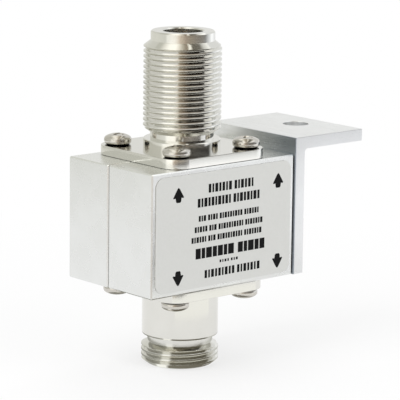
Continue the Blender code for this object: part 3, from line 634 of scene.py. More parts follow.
def socket_contact(name, reach, turn):
    """A bored and slotted contact on its stem, with heights measured from the flange's seat."""
    tip = reach - CONTACT_RECESS
    foot = reach - SOCKET_DEPTH + SEAT_GAP
    shape = bmesh.new()
    turn_profile(shape, [
        (0, foot + 0.3 * MM),
        (CONTACT_BORE, foot + 0.7 * MM),
        (CONTACT_BORE, tip - TIP_FLARE),
        (CONTACT_BORE + TIP_FLARE, tip),
        (CONTACT_RADIUS - CONTACT_EDGE, tip),
        (CONTACT_RADIUS - TIP_ROUND, tip - TIP_ROUND),
        (CONTACT_RADIUS, tip - CONTACT_EDGE),
        (CONTACT_RADIUS, foot),
        (STEM_RADIUS, foot),
        (STEM_RADIUS, STEM_END),
        (0, STEM_END),
    ], CONTACT_STEPS)
    contact = mesh_object(name, shape)
    length = tip - foot
    for sawing in (0, 1):
        blade = bmesh.new()
        bmesh.ops.create_cube(blade, size=1.0)
        bmesh.ops.scale(blade, vec=(4 * CONTACT_RADIUS, CONTACT_SLOT, length), verts=blade.verts)
        bmesh.ops.translate(blade, vec=(0, 0, foot + MM + length / 2), verts=blade.verts)
        yaw = Matrix.Rotation(math.pi / 4 + sawing * math.pi / 2, 3, "Z")
        bmesh.ops.rotate(blade, matrix=yaw, verts=blade.verts)
        combine(contact, mesh_object(name + "_blade", blade), "DIFFERENCE")
    contact.data.transform(turn)
    return contact


antenna_contact = socket_contact("antenna_centre_contact", ANTENNA_REACH, ANTENNA_SEAT)
dress(antenna_contact, gold_plate, ["antenna_contact"])
equipment_contact = socket_contact("equipment_centre_contact", EQUIPMENT_REACH, EQUIPMENT_SEAT)
dress(equipment_contact, gold_plate, ["equipment_contact"])


# The sealing rings: moulded black rubber rings in the housing's counterbores, pressed by the
# flanges. They don't show, and only get their finish.

# Moulded rubber: soft black with a dusty bloom.
BLOOM_PATCH = 1.5 * MM

moulded_rubber = mottled(
    "moulded_black_rubber", {"Roughness": 0.75},
    {"Scale": 1 / BLOOM_PATCH, "Detail": 4.0}, ("#161616", "#262626"),
)
for name in ("antenna_sealing_ring", "equipment_sealing_ring"):
    finish_node(name, moulded_rubber)


# The screws: ten cold-headed stainless pan head screws, number 4, with a cross recess. Four hold
# each flange and two hold the bracket. One screw is made, and a geometry tree sets it on each
# seat with its own turn, as they came to rest when tightened.

# Cold-headed stainless: bright and slightly grey, with faint concentric marks from the die. Painted
# shade darkens the recess and the head's lower edge to near black, where a mesh attribute marks
# them.
DIE_MARK = 0.25 * MM

headed_steel, tree, shader, where = new_finish("cold_headed_stainless", {"Metallic": 1.0})
steel = lay_grain(
    tree, shader, where, {"Scale": 1 / DIE_MARK, "Detail": 3.0},
    colours=("#c2beb6", "#d6d3cd"), relief=(0.15, 0.01 * MM), gloss=(0.12, 0.2),
)
# Painted shade: the mark mixes a near-black into the steel's colour in the recess and under the
# head.
oiled = add_node(tree, "ShaderNodeAttribute", {"attribute_name": "oiled"})
shaded_colour = add_node(
    tree, "ShaderNodeMix", {"data_type": "RGBA"},
    {"Factor": oiled.outputs["Fac"], 6: steel["Base Color"], 7: linear("#35322c")},
)
plug(tree, shader, {"Base Color": shaded_colour.outputs[2]})

HEAD_RADIUS = 2.78 * MM
HEAD_HEIGHT = 2.0 * MM
HEAD_SIDE = 0.9 * MM
SHANK_RADIUS = 1.4 * MM
SHANK_LENGTH = 6.35 * MM
RECESS_ARM = 1.45 * MM
RECESS_WIDTH = 0.75 * MM
RECESS_DEPTH = 1.1 * MM
SCREW_TURN = math.radians(37)
DOME_STEPS = 8
HEAD_STEPS = 48
SHADE_HEIGHT = 0.1 * MM

shape = bmesh.new()
profile = []
for step in range(DOME_STEPS + 1):
    lean = step * math.pi / 2 / DOME_STEPS
    rise = (HEAD_HEIGHT - HEAD_SIDE) * math.cos(lean)
    profile.append((HEAD_RADIUS * math.sin(lean), HEAD_SIDE + rise))
# The head's lower edge is round and lies 0.03 mm off its seat.
for inwards, height in ((0, 0.5), (0.05, 0.26), (0.2, 0.04), (0.42, -0.12), (0.55, -0.17)):
    profile.append((HEAD_RADIUS - inwards * MM, height * MM))
profile += [
    (SHANK_RADIUS, -0.17 * MM), (SHANK_RADIUS, 0.35 * MM - SHANK_LENGTH),
    (SHANK_RADIUS - 0.35 * MM, -SHANK_LENGTH), (0, -SHANK_LENGTH),
]
turn_profile(shape, profile, HEAD_STEPS)
pan_head_screw = mesh_object("pan_head_screw", shape)
for arm in (0, 1):
    # Each arm's wall leans in towards the recess's floor, as the punch leaves it.
    punch = bmesh.new()
    floor, mouth = (
        [
            punch.verts.new((x * RECESS_ARM * long, y * RECESS_WIDTH * wide, height))
            for x, y in CORNERS
        ]
        for long, wide, height in (
            (0.5, 0.32, HEAD_HEIGHT - RECESS_DEPTH), (1.1, 0.54, HEAD_HEIGHT + 0.2 * MM),
        )
    )
    punch.faces.new(floor[::-1])
    punch.faces.new(mouth)
    for corner in range(4):
        after = (corner + 1) % 4
        punch.faces.new((floor[corner], floor[after], mouth[after], mouth[corner]))
    bmesh.ops.rotate(punch, matrix=Matrix.Rotation(arm * math.pi / 2, 3, "Z"), verts=punch.verts)
    combine(pan_head_screw, mesh_object("recess_punch", punch), "DIFFERENCE")
# The marks for the painted shade: 1 on the recess's floor and under the head, 0 elsewhere.
shade_marks = pan_head_screw.data.attributes.new("oiled", "FLOAT", "POINT")
for vertex in pan_head_screw.data.vertices:
    out = math.hypot(vertex.co.x, vertex.co.y)
    under = SHANK_RADIUS < out and vertex.co.z < SHADE_HEIGHT
    rise = (HEAD_HEIGHT - HEAD_SIDE) * math.sqrt(max(0.0, 1 - (out / HEAD_RADIUS) ** 2))
    inside = out < RECESS_ARM * 1.2 and 0 < vertex.co.z < HEAD_SIDE + rise - 0.3 * MM
    shade_marks.data[vertex.index].value = 1.0 if under or inside else 0.0
pan_head_screw.data.shade_smooth()
pan_head_screw.data.set_sharp_from_angle(angle=CREASE)

screw_setter, given = new_tree("set_screws_on_seats", {
    "Seats": "Geometry", "Screw": "Object", "Turn Between Screws": "Float", "Material": "Material",
})
heading = add_node(
    screw_setter, "GeometryNodeInputNamedAttribute", {"data_type": "FLOAT_VECTOR"},
    {"Name": "heading"},
)
facing = add_node(
    screw_setter, "FunctionNodeAlignRotationToVector", {"axis": "Z"},
    {"Vector": heading.outputs["Attribute"]},
)
number = add_node(screw_setter, "GeometryNodeInputIndex")
own_turn = add_node(
    screw_setter, "ShaderNodeMath", {"operation": "MULTIPLY"},
    {0: number, 1: given["Turn Between Screws"]},
)
turn_about_z = add_node(screw_setter, "ShaderNodeCombineXYZ", None, {"Z": own_turn})
twist = add_node(screw_setter, "FunctionNodeEulerToRotation", None, {"Euler": turn_about_z})
turned = add_node(
    screw_setter, "FunctionNodeRotateRotation", {"rotation_space": "LOCAL"},
    {"Rotation": facing.outputs["Rotation"], "Rotate By": twist.outputs["Rotation"]},
)
screw_shape = add_node(screw_setter, "GeometryNodeObjectInfo", None, {"Object": given["Screw"]})
copies = add_node(screw_setter, "GeometryNodeInstanceOnPoints", None, {
    "Points": given["Seats"], "Instance": screw_shape.outputs["Geometry"],
    "Rotation": turned.outputs["Rotation"],
})
end_tree(screw_setter, copies.outputs[0], given["Material"])

BRACKET_INNER = AXIS_X + 18.9 * MM
BRACKET_THICKNESS = 2.5 * MM
BRACKET_SCREW_HEIGHT = 30.3 * MM
BRACKET_SCREW_SPACING = 15.0 * MM

seats = []
for height, up in (
    (HOUSING_TOP + FLANGE_THICKNESS + 2 * SEAT_GAP, 1),
    (HOUSING_BASE - FLANGE_THICKNESS - 2 * SEAT_GAP, -1),
):
    for x, y in FLANGE_SCREWS:
        seats.append(((AXIS_X + x, AXIS_Y + y, height), (0, 0, up)))
for side in (-1, 1):
    seat_y = AXIS_Y + side * BRACKET_SCREW_SPACING / 2
    seat = (BRACKET_INNER + BRACKET_THICKNESS + SEAT_GAP, seat_y, BRACKET_SCREW_HEIGHT)
    seats.append((seat, (1, 0, 0)))
mesh = bpy.data.meshes.new("pan_head_screws")
mesh.from_pydata([place for place, heading in seats], [], [])
mesh.attributes.new("heading", "FLOAT_VECTOR", "POINT")
headings = [part for place, heading in seats for part in heading]
mesh.attributes["heading"].data.foreach_set("vector", headings)
screws = add_object("pan_head_screws", mesh)
run_tree(screws, screw_setter, {
    "Screw": pan_head_screw, "Turn Between Screws": SCREW_TURN, "Material": headed_steel,
})
bpy.data.objects.remove(pan_head_screw)
screw_nodes = [f"{end}_flange_screw_{n}" for end in ("antenna", "equipment") for n in range(1, 5)]
dress(screws, headed_steel, screw_nodes + ["bracket_screw_1", "bracket_screw_2"])


# The mounting bracket: a length sawn from an extruded aluminium angle, with a fillet in its inside
# corner, a drilled mounting hole in the short leg and two screw holes in the long one. Its edges
# are broken by hand. It is made again here with a finer fillet and broken edges.

# Extruded aluminium: pale satin metal with fine die lines along the length of the extrusion,
# 0.1 mm apart and drawn at 0.25 mm, and a faint cloudiness.
DIE_LINE = 0.25 * MM
DIE_LINE_RUN = 14.0 * MM
CLOUD = 5.0 * MM

extruded_aluminium, tree, shader, where = new_finish("extruded_aluminium", {"Metallic": 1.0})
metal = lay_grain(
    tree, shader, where, {"Scale": 1 / CLOUD, "Detail": 3.0}, colours=("#e0e1e1", "#ebecec"),
)
lay_grain(
    tree, shader, where, {"Scale": 1.0, "Detail": 3.0, "Roughness": 0.6},
    relief=(0.2, 0.02 * MM), gloss=(0.26, 0.36),
    runs=(DIE_LINE, DIE_LINE_RUN, DIE_LINE),
)
# Painted shade: the long leg's inside face is darkened blue-grey, heavier towards the label.
parts = add_node(tree, "ShaderNodeSeparateXYZ", None, {"Vector": where})
inside = add_node(tree, "ShaderNodeMapRange", None, {
    "Value": parts.outputs["X"],
    "From Min": BRACKET_INNER + 0.1 * MM, "From Max": BRACKET_INNER + 0.02 * MM,
})
towards_label = add_node(
    tree, "ShaderNodeMapRange", None,
    {"Value": parts.outputs["Y"], "From Min": 6.0 * MM, "From Max": -10.0 * MM},
)
painted_shade_amount = add_node(tree, "ShaderNodeMath", {"operation": "MULTIPLY"}, {0: inside, 1: towards_label})
overlay = add_node(
    tree, "ShaderNodeMix", {"data_type": "RGBA"},
    {"Factor": painted_shade_amount, 6: metal["Base Color"], 7: linear("#a6adb5")},
)
plug(tree, shader, {"Base Color": overlay.outputs[2]})

BRACKET_LEG = 18.6 * MM
BRACKET_WIDTH = 26.0 * MM
BRACKET_MIDDLE_Y = AXIS_Y - 0.4 * MM
BRACKET_TOP = HOUSING_TOP + 3.4 * MM
BRACKET_BEDDING = 0.17 * MM
BRACKET_FILLET = 0.8 * MM
BRACKET_EDGE = 0.12 * MM
BRACKET_HOLE = 2.65 * MM
BRACKET_HOLE_OUT = 11.9 * MM
DRILL_OVER = 2.0 * MM
HOLE_EDGE = 0.08 * MM
FILLET_STEPS = 8

inner_face = BRACKET_INNER + BRACKET_THICKNESS
root_x = inner_face + BRACKET_FILLET
root_z = BRACKET_TOP - BRACKET_THICKNESS - BRACKET_FILLET
outline = [
    (BRACKET_INNER - BRACKET_BEDDING, BRACKET_TOP),
    (BRACKET_INNER - BRACKET_BEDDING, HOUSING_BASE),
    (inner_face, HOUSING_BASE),
]
for step in range(FILLET_STEPS + 1):
    angle = math.pi - step * math.pi / 2 / FILLET_STEPS
    x, z = BRACKET_FILLET * math.cos(angle), BRACKET_FILLET * math.sin(angle)
    outline.append((root_x + x, root_z + z))
outline += [
    (BRACKET_INNER + BRACKET_LEG, BRACKET_TOP - BRACKET_THICKNESS),
    (BRACKET_INNER + BRACKET_LEG, BRACKET_TOP),
]
shape = bmesh.new()
front_y = BRACKET_MIDDLE_Y - BRACKET_WIDTH / 2
sawn_end = shape.faces.new([shape.verts.new((x, front_y, z)) for x, z in outline])
grown = bmesh.ops.extrude_face_region(shape, geom=[sawn_end])
far_side = [item for item in grown["geom"] if isinstance(item, bmesh.types.BMVert)]
bmesh.ops.translate(shape, vec=(0, BRACKET_WIDTH, 0), verts=far_side)
bmesh.ops.recalc_face_normals(shape, faces=shape.faces)
sharp = [e for e in shape.edges if e.calc_face_angle(0.0) > CREASE]
bmesh.ops.bevel(shape, geom=sharp, offset=BRACKET_EDGE, segments=2, profile=0.5, affect="EDGES")
bracket = mesh_object("angle_bracket", shape)

drill = bmesh.new()
turn_profile(drill, [
    (0, DRILL_OVER),
    (BRACKET_HOLE + DRILL_OVER + HOLE_EDGE, DRILL_OVER),
    (BRACKET_HOLE, -HOLE_EDGE),
    (BRACKET_HOLE, HOLE_EDGE - BRACKET_THICKNESS),
    (BRACKET_HOLE + DRILL_OVER + HOLE_EDGE, -BRACKET_THICKNESS - DRILL_OVER),
    (0, -BRACKET_THICKNESS - DRILL_OVER),
], 96)
drill = mesh_object("mounting_hole_drill", drill)
hole_place = (BRACKET_INNER + BRACKET_HOLE_OUT, BRACKET_MIDDLE_Y, BRACKET_TOP)
drill.data.transform(Matrix.Translation(hole_place))
combine(bracket, drill, "DIFFERENCE")
for side in (-1, 1):
    screw_place = (inner_face, AXIS_Y + side * BRACKET_SCREW_SPACING / 2, BRACKET_SCREW_HEIGHT)
    drill = bmesh.new()
    bmesh.ops.create_cone(
        drill, cap_ends=True, segments=SCREW_HOLE_STEPS, radius1=SCREW_HOLE_RADIUS,
        radius2=SCREW_HOLE_RADIUS, depth=8 * MM,
        matrix=Matrix.Translation(screw_place) @ Matrix.Rotation(math.pi / 2, 4, "Y"),
    )
    combine(bracket, mesh_object("bracket_screw_drill", drill), "DIFFERENCE")
dress(bracket, extruded_aluminium, ["mounting_bracket"])


# The label: a satin grey polyester film with rounded corners, stuck on the front half and screen
# printed in black. Four plain arrows stand in its corners. Rows of small plain blocks stand where
# the print was, because the part carries no words.

# Screen printed polyester film: even light grey with a soft satin mottle, and a print that lies
# on it like a thin dry paint.
FILM_MOTTLE = 0.6 * MM
INK_GRAIN = 0.25 * MM

satin_film = mottled(
    "satin_grey_polyester_film", {"Roughness": 0.45},
    {"Scale": 1 / FILM_MOTTLE, "Detail": 4.0}, ("#d8d9d5", "#dfdfdc"), (0.15, 0.01 * MM),
)
black_print = mottled(
    "black_screen_print", {"Roughness": 0.6, "Specular IOR Level": 0.12},
    {"Scale": 1 / INK_GRAIN, "Detail": 2.0}, ("#080809", "#151516"),
)

LABEL_WIDTH = 35.4 * MM
LABEL_HEIGHT = 23.0 * MM
LABEL_CORNER = 2.0 * MM
LABEL_EDGE = 0.03 * MM
LABEL_BACK = AXIS_Y - 13.12 * MM
FILM_THICKNESS = 0.185 * MM
PRINT_THICKNESS = 0.015 * MM
LABEL_MIDDLE = 30.3 * MM

overlay = rounded_slab(
    "printed_label", LABEL_WIDTH, LABEL_HEIGHT, FILM_THICKNESS, LABEL_CORNER, LABEL_EDGE,
)

print_setter, given = new_tree("print_marks_on_places", {
    "Places": "Geometry", "Mark": "Object", "Material": "Material",
})
mark_size = add_node(
    print_setter, "GeometryNodeInputNamedAttribute", {"data_type": "FLOAT_VECTOR"},
    {"Name": "mark_size"},
)
mark_shape = add_node(print_setter, "GeometryNodeObjectInfo", None, {"Object": given["Mark"]})
copies = add_node(print_setter, "GeometryNodeInstanceOnPoints", None, {
    "Points": given["Places"], "Instance": mark_shape.outputs["Geometry"],
    "Scale": mark_size.outputs["Attribute"],
})
end_tree(print_setter, copies.outputs[0], given["Material"])


def printed(name, outline, places):
    """Copies of one flat outline of unit size, each at (x, z) with its own width and height."""
    shape = bmesh.new()
    face = shape.faces.new([shape.verts.new((x, y, 0)) for x, y in outline])
    grown = bmesh.ops.extrude_face_region(shape, geom=[face])
    top = [item for item in grown["geom"] if isinstance(item, bmesh.types.BMVert)]
    bmesh.ops.translate(shape, vec=(0, 0, 1), verts=top)
    mark = mesh_object(name + "_mark", shape)
    mesh = bpy.data.meshes.new(name)
    low = FILM_THICKNESS - PRINT_THICKNESS
    mesh.from_pydata([(x * MM, z * MM, low) for x, z, width, height in places], [], [])
    mesh.attributes.new("mark_size", "FLOAT_VECTOR", "POINT")
    sizes = [(width * MM, height * MM, 2 * PRINT_THICKNESS) for x, z, width, height in places]
    flat_sizes = [part for size in sizes for part in size]
    mesh.attributes["mark_size"].data.foreach_set("vector", flat_sizes)
    marks = add_object(name, mesh)
    run_tree(marks, print_setter, {"Mark": mark, "Material": black_print})
    bpy.data.objects.remove(mark)
    return marks


# Each row: the middle's height, the blocks' height, their mean width and gap, the row's left end,
# and how many blocks stand in each group. The widths go round in turn.
PRINT_ROWS = (
    (8.17, 1.75, 0.6, 0.3, -4.3, (7, 6)),
    (5.5, 1.75, 0.63, 0.27, -7.1, (10, 8)),
    (2.35, 1.15, 0.48, 0.2, -6.8, (3, 4, 9, 6)),
    (0.2, 1.15, 0.48, 0.2, -7.8, (5, 3, 10, 7)),
    (-1.85, 1.15, 0.48, 0.2, -8.6, (6, 3, 10, 7)),
    (-4.67, 2.1, 1.2, 0.25, -7.5, (7, 5)),
    (-6.85, 0.55, 0.4, 0.28, -1.2, (4, 3)),
    (-9.0, 1.6, 0.58, 0.32, -5.1, (9, 7)),
)
BLOCK_WIDTHS = (1.1, 0.75, 1.25, 0.9)
blocks = []
for middle, tall, mean_width, gap, left, groups in PRINT_ROWS:
    x = left
    for group in groups:
        for block in range(group):
            wide = mean_width * BLOCK_WIDTHS[block % 4]
            blocks.append((x + wide / 2, middle, wide, tall))
            x += wide + gap
        x += mean_width * 0.7
square = [(-0.5, -0.5), (0.5, -0.5), (0.5, 0.5), (-0.5, 0.5)]
ARROW_OUTLINE = (
    (0.0, 0.5), (0.12, 0.4), (0.5, -0.16), (0.46, -0.21), (0.27, -0.19), (0.24, -0.42),
    (0.16, -0.5),
)
arrow = list(ARROW_OUTLINE) + [(-x, y) for x, y in ARROW_OUTLINE[:0:-1]]
turned_over = [(-x, -y) for x, y in arrow]
# Each arrow's place on the label, width and height, in millimetres.
UP_ARROWS = ((-12.05, 7.7, 2.75, 3.0), (14.2, 7.65, 2.75, 3.0))
DOWN_ARROWS = ((-12.0, -8.95, 2.75, 3.0), (14.3, -8.9, 2.75, 3.0))
up_arrows = printed("up_arrows", arrow[::-1], UP_ARROWS)
down_arrows = printed("down_arrows", turned_over[::-1], DOWN_ARROWS)
print_blocks = printed("print_blocks", square, blocks)

shape = bmesh.new()
shape.from_mesh(overlay.data)
for face in shape.faces:
    face.material_index = 0
film_faces = len(shape.faces)
for marks in (up_arrows, down_arrows, print_blocks):
    shape.from_mesh(marks.data)
    bpy.data.objects.remove(marks)
shape.faces.ensure_lookup_table()
for face in shape.faces[film_faces:]:
    face.material_index = 1
bmesh.ops.recalc_face_normals(shape, faces=shape.faces)
shape.to_mesh(overlay.data)
shape.free()
overlay.data.transform(
    Matrix.Translation((AXIS_X, LABEL_BACK, LABEL_MIDDLE)) @ Matrix.Rotation(math.pi / 2, 4, "X")
)
indices = [polygon.material_index for polygon in overlay.data.polygons]
dress(overlay, satin_film, ["label"])
overlay.data.materials.append(black_print)
overlay.data.polygons.foreach_set("material_index", indices)


# The studio: a white table with the object standing on its lower connector, a soft lamp high on
# the left, a weaker one on the right and one behind, and a ring of cards that only the metal sees.

CAMERA_AZIMUTH = math.radians(-40.555)
CAMERA_ELEVATION = math.radians(11.171)
CAMERA_ROLL = math.radians(-0.633)
CAMERA_DISTANCE = 506.76 * MM
CAMERA_AIM = Vector((-9.45, 0.25, 34.7)) * MM
FOCAL_PIXELS = 2514.27
PICTURE_PIXELS = 400
PICTURE_CENTRE = (181.26, 194.23)
SENSOR = 36.0

back = Vector((
    math.sin(CAMERA_AZIMUTH) * math.cos(CAMERA_ELEVATION),
    -math.cos(CAMERA_AZIMUTH) * math.cos(CAMERA_ELEVATION),
    math.sin(CAMERA_ELEVATION),
))
right = Vector((math.cos(CAMERA_AZIMUTH), math.sin(CAMERA_AZIMUTH), 0.0))
up = back.cross(right)
camera_x = right * math.cos(CAMERA_ROLL) - up * math.sin(CAMERA_ROLL)
camera_y = right * math.sin(CAMERA_ROLL) + up * math.cos(CAMERA_ROLL)
camera_data = bpy.data.cameras.new("product_camera")
camera_data.sensor_width = SENSOR
camera_data.lens = FOCAL_PIXELS / PICTURE_PIXELS * SENSOR
camera_data.shift_x = (PICTURE_PIXELS / 2 - PICTURE_CENTRE[0]) / PICTURE_PIXELS
camera_data.shift_y = (PICTURE_CENTRE[1] - PICTURE_PIXELS / 2) / PICTURE_PIXELS
camera_data.clip_start = 0.01
camera_data.clip_end = 20.0
camera = add_object("product_camera", camera_data)
place = CAMERA_AIM + back * CAMERA_DISTANCE
camera.matrix_world = Matrix((
    (camera_x.x, camera_y.x, back.x, place.x),
    (camera_x.y, camera_y.y, back.y, place.y),
    (camera_x.z, camera_y.z, back.z, place.z),
    (0, 0, 0, 1),
))
bpy.context.scene.camera = camera

# White laminate table: the camera and the metal see plain white, which comes in with the distance
# from the object, so that the soft shadow round its foot stays.
FLOOR_RADIUS = 4.0
SHADOW_REACH = 150 * MM
WHITE_NEAR = 0.68

def seen_directly(tree):
    """1 for what the camera and the metal look along, and 0 for the rays that carry the light."""
    rays = add_node(tree, "ShaderNodeLightPath").outputs
    seen = add_node(
        tree, "ShaderNodeMath", {"operation": "ADD"},
        {0: rays["Is Camera Ray"], 1: rays["Is Glossy Ray"]},
    )
    seen_through = add_node(
        tree, "ShaderNodeMath", {"operation": "ADD", "use_clamp": True},
        {0: seen, 1: rays["Is Transmission Ray"]},
    )
    return seen_through.outputs[0]


white_table, tree, shader, where = new_finish("white_laminate_table", {})
tree.nodes.remove(shader)
paint = add_node(tree, "ShaderNodeBsdfDiffuse", None, {"Color": linear("#f8f8f8")})
glow = add_node(tree, "ShaderNodeEmission", None, {"Color": (1, 1, 1, 1), "Strength": 1.0})
distance = add_node(tree, "ShaderNodeVectorMath", {"operation": "LENGTH"}, {0: where})
whiteness = add_node(
    tree, "ShaderNodeMapRange", None,
    {"Value": distance.outputs["Value"], "From Max": SHADOW_REACH, "To Min": WHITE_NEAR},
)
share = add_node(
    tree, "ShaderNodeMath", {"operation": "MULTIPLY"},
    {0: seen_directly(tree), 1: whiteness},
)
mixed = add_node(tree, "ShaderNodeMixShader", None, {0: share, 1: paint, 2: glow})
plug(tree, tree.nodes["Material Output"], {"Surface": mixed})
shape = bmesh.new()
turn_profile(shape, [(0, 0), (FLOOR_RADIUS, 0)], 96)
floor = mesh_object("white_table", shape)
floor.location = (AXIS_X, AXIS_Y, 0)
floor.data.materials.append(white_table)
white_table.cycles.emission_sampling = "NONE"

# Glowing cards: they stand round the table and hang over it, glow in their own colours and show
# only in the metal, as painted reflections. Their colours go round by the bearing from the camera,
# to the
# right of it: white on the left, a soft box, a brown room in front and on the right, and white
# again. The walls lie one above another.
CARD_DISTANCE = 230 * MM
MIDDLE_WALL_FOOT = 31 * MM
LOW_WALL_TOP = 41 * MM
HIGH_WALL_TOP = 95 * MM
CARD_HEIGHT = 290 * MM
CARD_STRENGTH = 1.6
LOW_WALL_COLOURS = (
    (-180, "#bfbfbd"), (-150, "#a2a29c"), (-115, "#9a9a94"), (-87, "#a6a69e"), (-64, "#c6c6c0"),
    (-52, "#fbf9f4"), (-26, "#fffcf6"), (-16, "#d4c8ba"), (-8, "#ada192"), (10, "#988c7e"),
    (29, "#a39b8f"), (48, "#9a948c"), (68, "#a09d98"), (80, "#a8a8a8"), (91, "#bebfc2"),
    (104, "#d8dade"), (124, "#d8dade"), (142, "#c8c9cc"), (180, "#bfbfbd"),
)
MIDDLE_WALL_COLOURS = (
    (-180, "#bfbfbd"), (-150, "#bebeb8"), (-104, "#c6c6c0"), (-64, "#bcbcb6"), (-56, "#d0d0cb"),
    (-38, "#d6d4ce"), (-24, "#c6c2b8"), (-14, "#bcae9f"), (-3, "#bfb4a5"), (10, "#a79a8c"),
    (25, "#938a7c"), (54, "#837d75"), (78, "#7c7872"), (90, "#808080"), (102, "#a8aaac"),
    (124, "#eef0f4"), (142, "#d0d1d4"), (180, "#bfbfbd"),
)
KERB_COLOURS = (
    (-180, "#bfbfbd"), (-150, "#bebeb8"), (-64, "#c6c6c0"), (-56, "#e2e2dd"), (-26, "#e2dfd6"),
    (-18, "#8f8172"), (-2, "#5c5042"), (6, "#2a231c"), (12, "#15120e"), (68, "#15120e"),
    (74, "#d0d2d4"), (124, "#eef0f4"), (180, "#bfbfbd"),
)
HIGH_WALL_COLOURS = (
    (-180, "#bfbfbd"), (-150, "#b8b8b2"), (-104, "#b4b4ad"), (-64, "#b8b8b2"), (-56, "#f2f1ec"),
    (-16, "#f2f0ea"), (-8, "#8f8474"), (4, "#665a4c"), (14, "#3c342b"), (24, "#15120e"),
    (86, "#15120e"), (98, "#c8cacc"), (120, "#e6e8ec"), (180, "#bfbfbd"),
)
UPPER_WALL_COLOURS = (
    (-180, "#bfbfbd"), (-150, "#b8b8b2"), (-104, "#b4b4ad"), (-64, "#b8b8b2"), (-56, "#c4c4be"),
    (-16, "#c4c2bc"), (-4, "#a39a8c"), (14, "#8f8a84"), (86, "#8c8c8c"), (98, "#c8cacc"),
    (180, "#bfbfbd"),
)
# The ceiling's colours go from left to right, in millimetres from the object's axis.
CEILING_COLOURS = (
    (-230, "#a8a8a0"), (-130, "#acaca4"), (-100, "#d8d6ce"), (-80, "#ecebe4"), (-40, "#f0eee6"),
    (-20, "#cfcabe"), (2, "#a09a8c"), (18, "#7c7162"), (30, "#7c7162"), (35, "#e8e6dc"),
    (46, "#e8e6dc"), (53, "#5e5a50"), (100, "#625f58"), (122, "#b8b8b4"), (146, "#d4d4d0"),
    (166, "#f0f0f0"), (230, "#f0f0f0"),
)
KERB_TOP = 9.5 * MM
KERB_FOOT = 0.6 * MM
# A dark glowing card, the cloth, lies on the table in front and paints dark reflections into the
# flanks of the upper thread. A low white card, the fence, hides it from the lower connector. A
# small grey card, the mat, lies under the lower rim and paints a darker reflection into it.
CLOTH_HEIGHT = 0.3 * MM
CLOTH_INNER = 50 * MM
CLOTH_MIDDLE = 92 * MM
CLOTH_OUTER = 128 * MM
CLOTH_SPAN = (-14, 90)
FAR_CLOTH_SPAN = (-14, 76)
CLOTH_COLOURS = (
    (-180, "#a09482"), (-14, "#a09482"), (-7, "#857969"), (4, "#665a4c"), (13, "#4a4138"),
    (22, "#1c1813"), (84, "#15120e"), (88, "#a0a0a0"), (180, "#c0c0c0"),
)
FENCE_DISTANCE = 49 * MM
FENCE_TOP = 10 * MM
FENCE_FOOT = 0.4 * MM
FENCE_COLOURS = ((-180, "#d8d8d5"), (180, "#d8d8d5"))
MAT_HEIGHT = 0.2 * MM
MAT_INNER = 6.4 * MM
MAT_OUTER = 24.0 * MM
MAT_COLOURS = (
    (-180, "#8c8c88"), (-60, "#868680"), (-44, "#9c9c96"), (-40, "#dcdcd8"), (-24, "#dcdcd8"),
    (-18, "#69665c"), (70, "#5c594f"), (84, "#b4b4b0"), (180, "#8c8c88"),
)
# A pale glowing card lies on the table on the right and paints a pale reflection into the front of
# the box.
APRON_HEIGHT = 0.4 * MM
APRON_INNER = 129 * MM
APRON_SPAN = (58, 156)
APRON_COLOURS = (
    (-180, "#f2f2f4"), (104, "#ececee"), (120, "#b2b4b8"), (144, "#b2b4b8"), (156, "#c8c9cc"),
    (180, "#e8e8ea"),
)
camera_bearing = CAMERA_AZIMUTH - math.pi / 2


def card_finish(name, colours, overhead):
    """Card paint whose colour goes by the bearing, or overhead by the place from left to right."""
    material, tree, shader, where = new_finish(name, {})
    tree.nodes.remove(shader)
    parts = add_node(tree, "ShaderNodeSeparateXYZ", None, {"Vector": where}).outputs
    place, reach = parts["Y"], CARD_DISTANCE
    if not overhead:
        bearing = add_node(
            tree, "ShaderNodeMath", {"operation": "ARCTAN2"}, {0: parts["Y"], 1: parts["X"]},
        )
        place, reach = bearing.outputs[0], math.pi
    share = add_node(
        tree, "ShaderNodeMapRange", None, {"Value": place, "From Min": -reach, "From Max": reach},
    )
    ramp = add_node(tree, "ShaderNodeValToRGB", None, {"Fac": share})
    stops = ramp.color_ramp.elements
    first, last = colours[0][0], colours[-1][0]
    for number, (place, hex_colour) in enumerate(colours):
        place = (place - first) / (last - first)
        stop = stops[number] if number < 2 else stops.new(place)
        stop.position = place
        stop.color = linear(hex_colour)
    glow = add_node(
        tree, "ShaderNodeEmission", None,
        {"Color": ramp.outputs["Color"], "Strength": CARD_STRENGTH},
    )
    plug(tree, tree.nodes["Material Output"], {"Surface": glow})
    material.cycles.emission_sampling = "NONE"
    return material


def stand_cards(name, profile, material, span=(-180, 180)):
    """Cards turned about the object's axis over a span of bearings, which only the metal sees."""
    shape = bmesh.new()
    turn_profile(shape, profile, 180)
    outside = []
    for face in shape.faces:
        middle = face.calc_center_median()
        if not span[0] < math.degrees(math.atan2(middle.y, middle.x)) < span[1]:
            outside.append(face)
    bmesh.ops.delete(shape, geom=outside, context="FACES")
    cards = mesh_object(name, shape)
    turn = Matrix.Rotation(camera_bearing, 4, "Z")
    cards.matrix_world = Matrix.Translation((AXIS_X, AXIS_Y, 0)) @ turn
    cards.data.materials.append(material)
    cards.visible_camera = False
    cards.visible_diffuse = False
    cards.visible_shadow = False
    cards.visible_transmission = False


ALL_ROUND = (-180, 180)
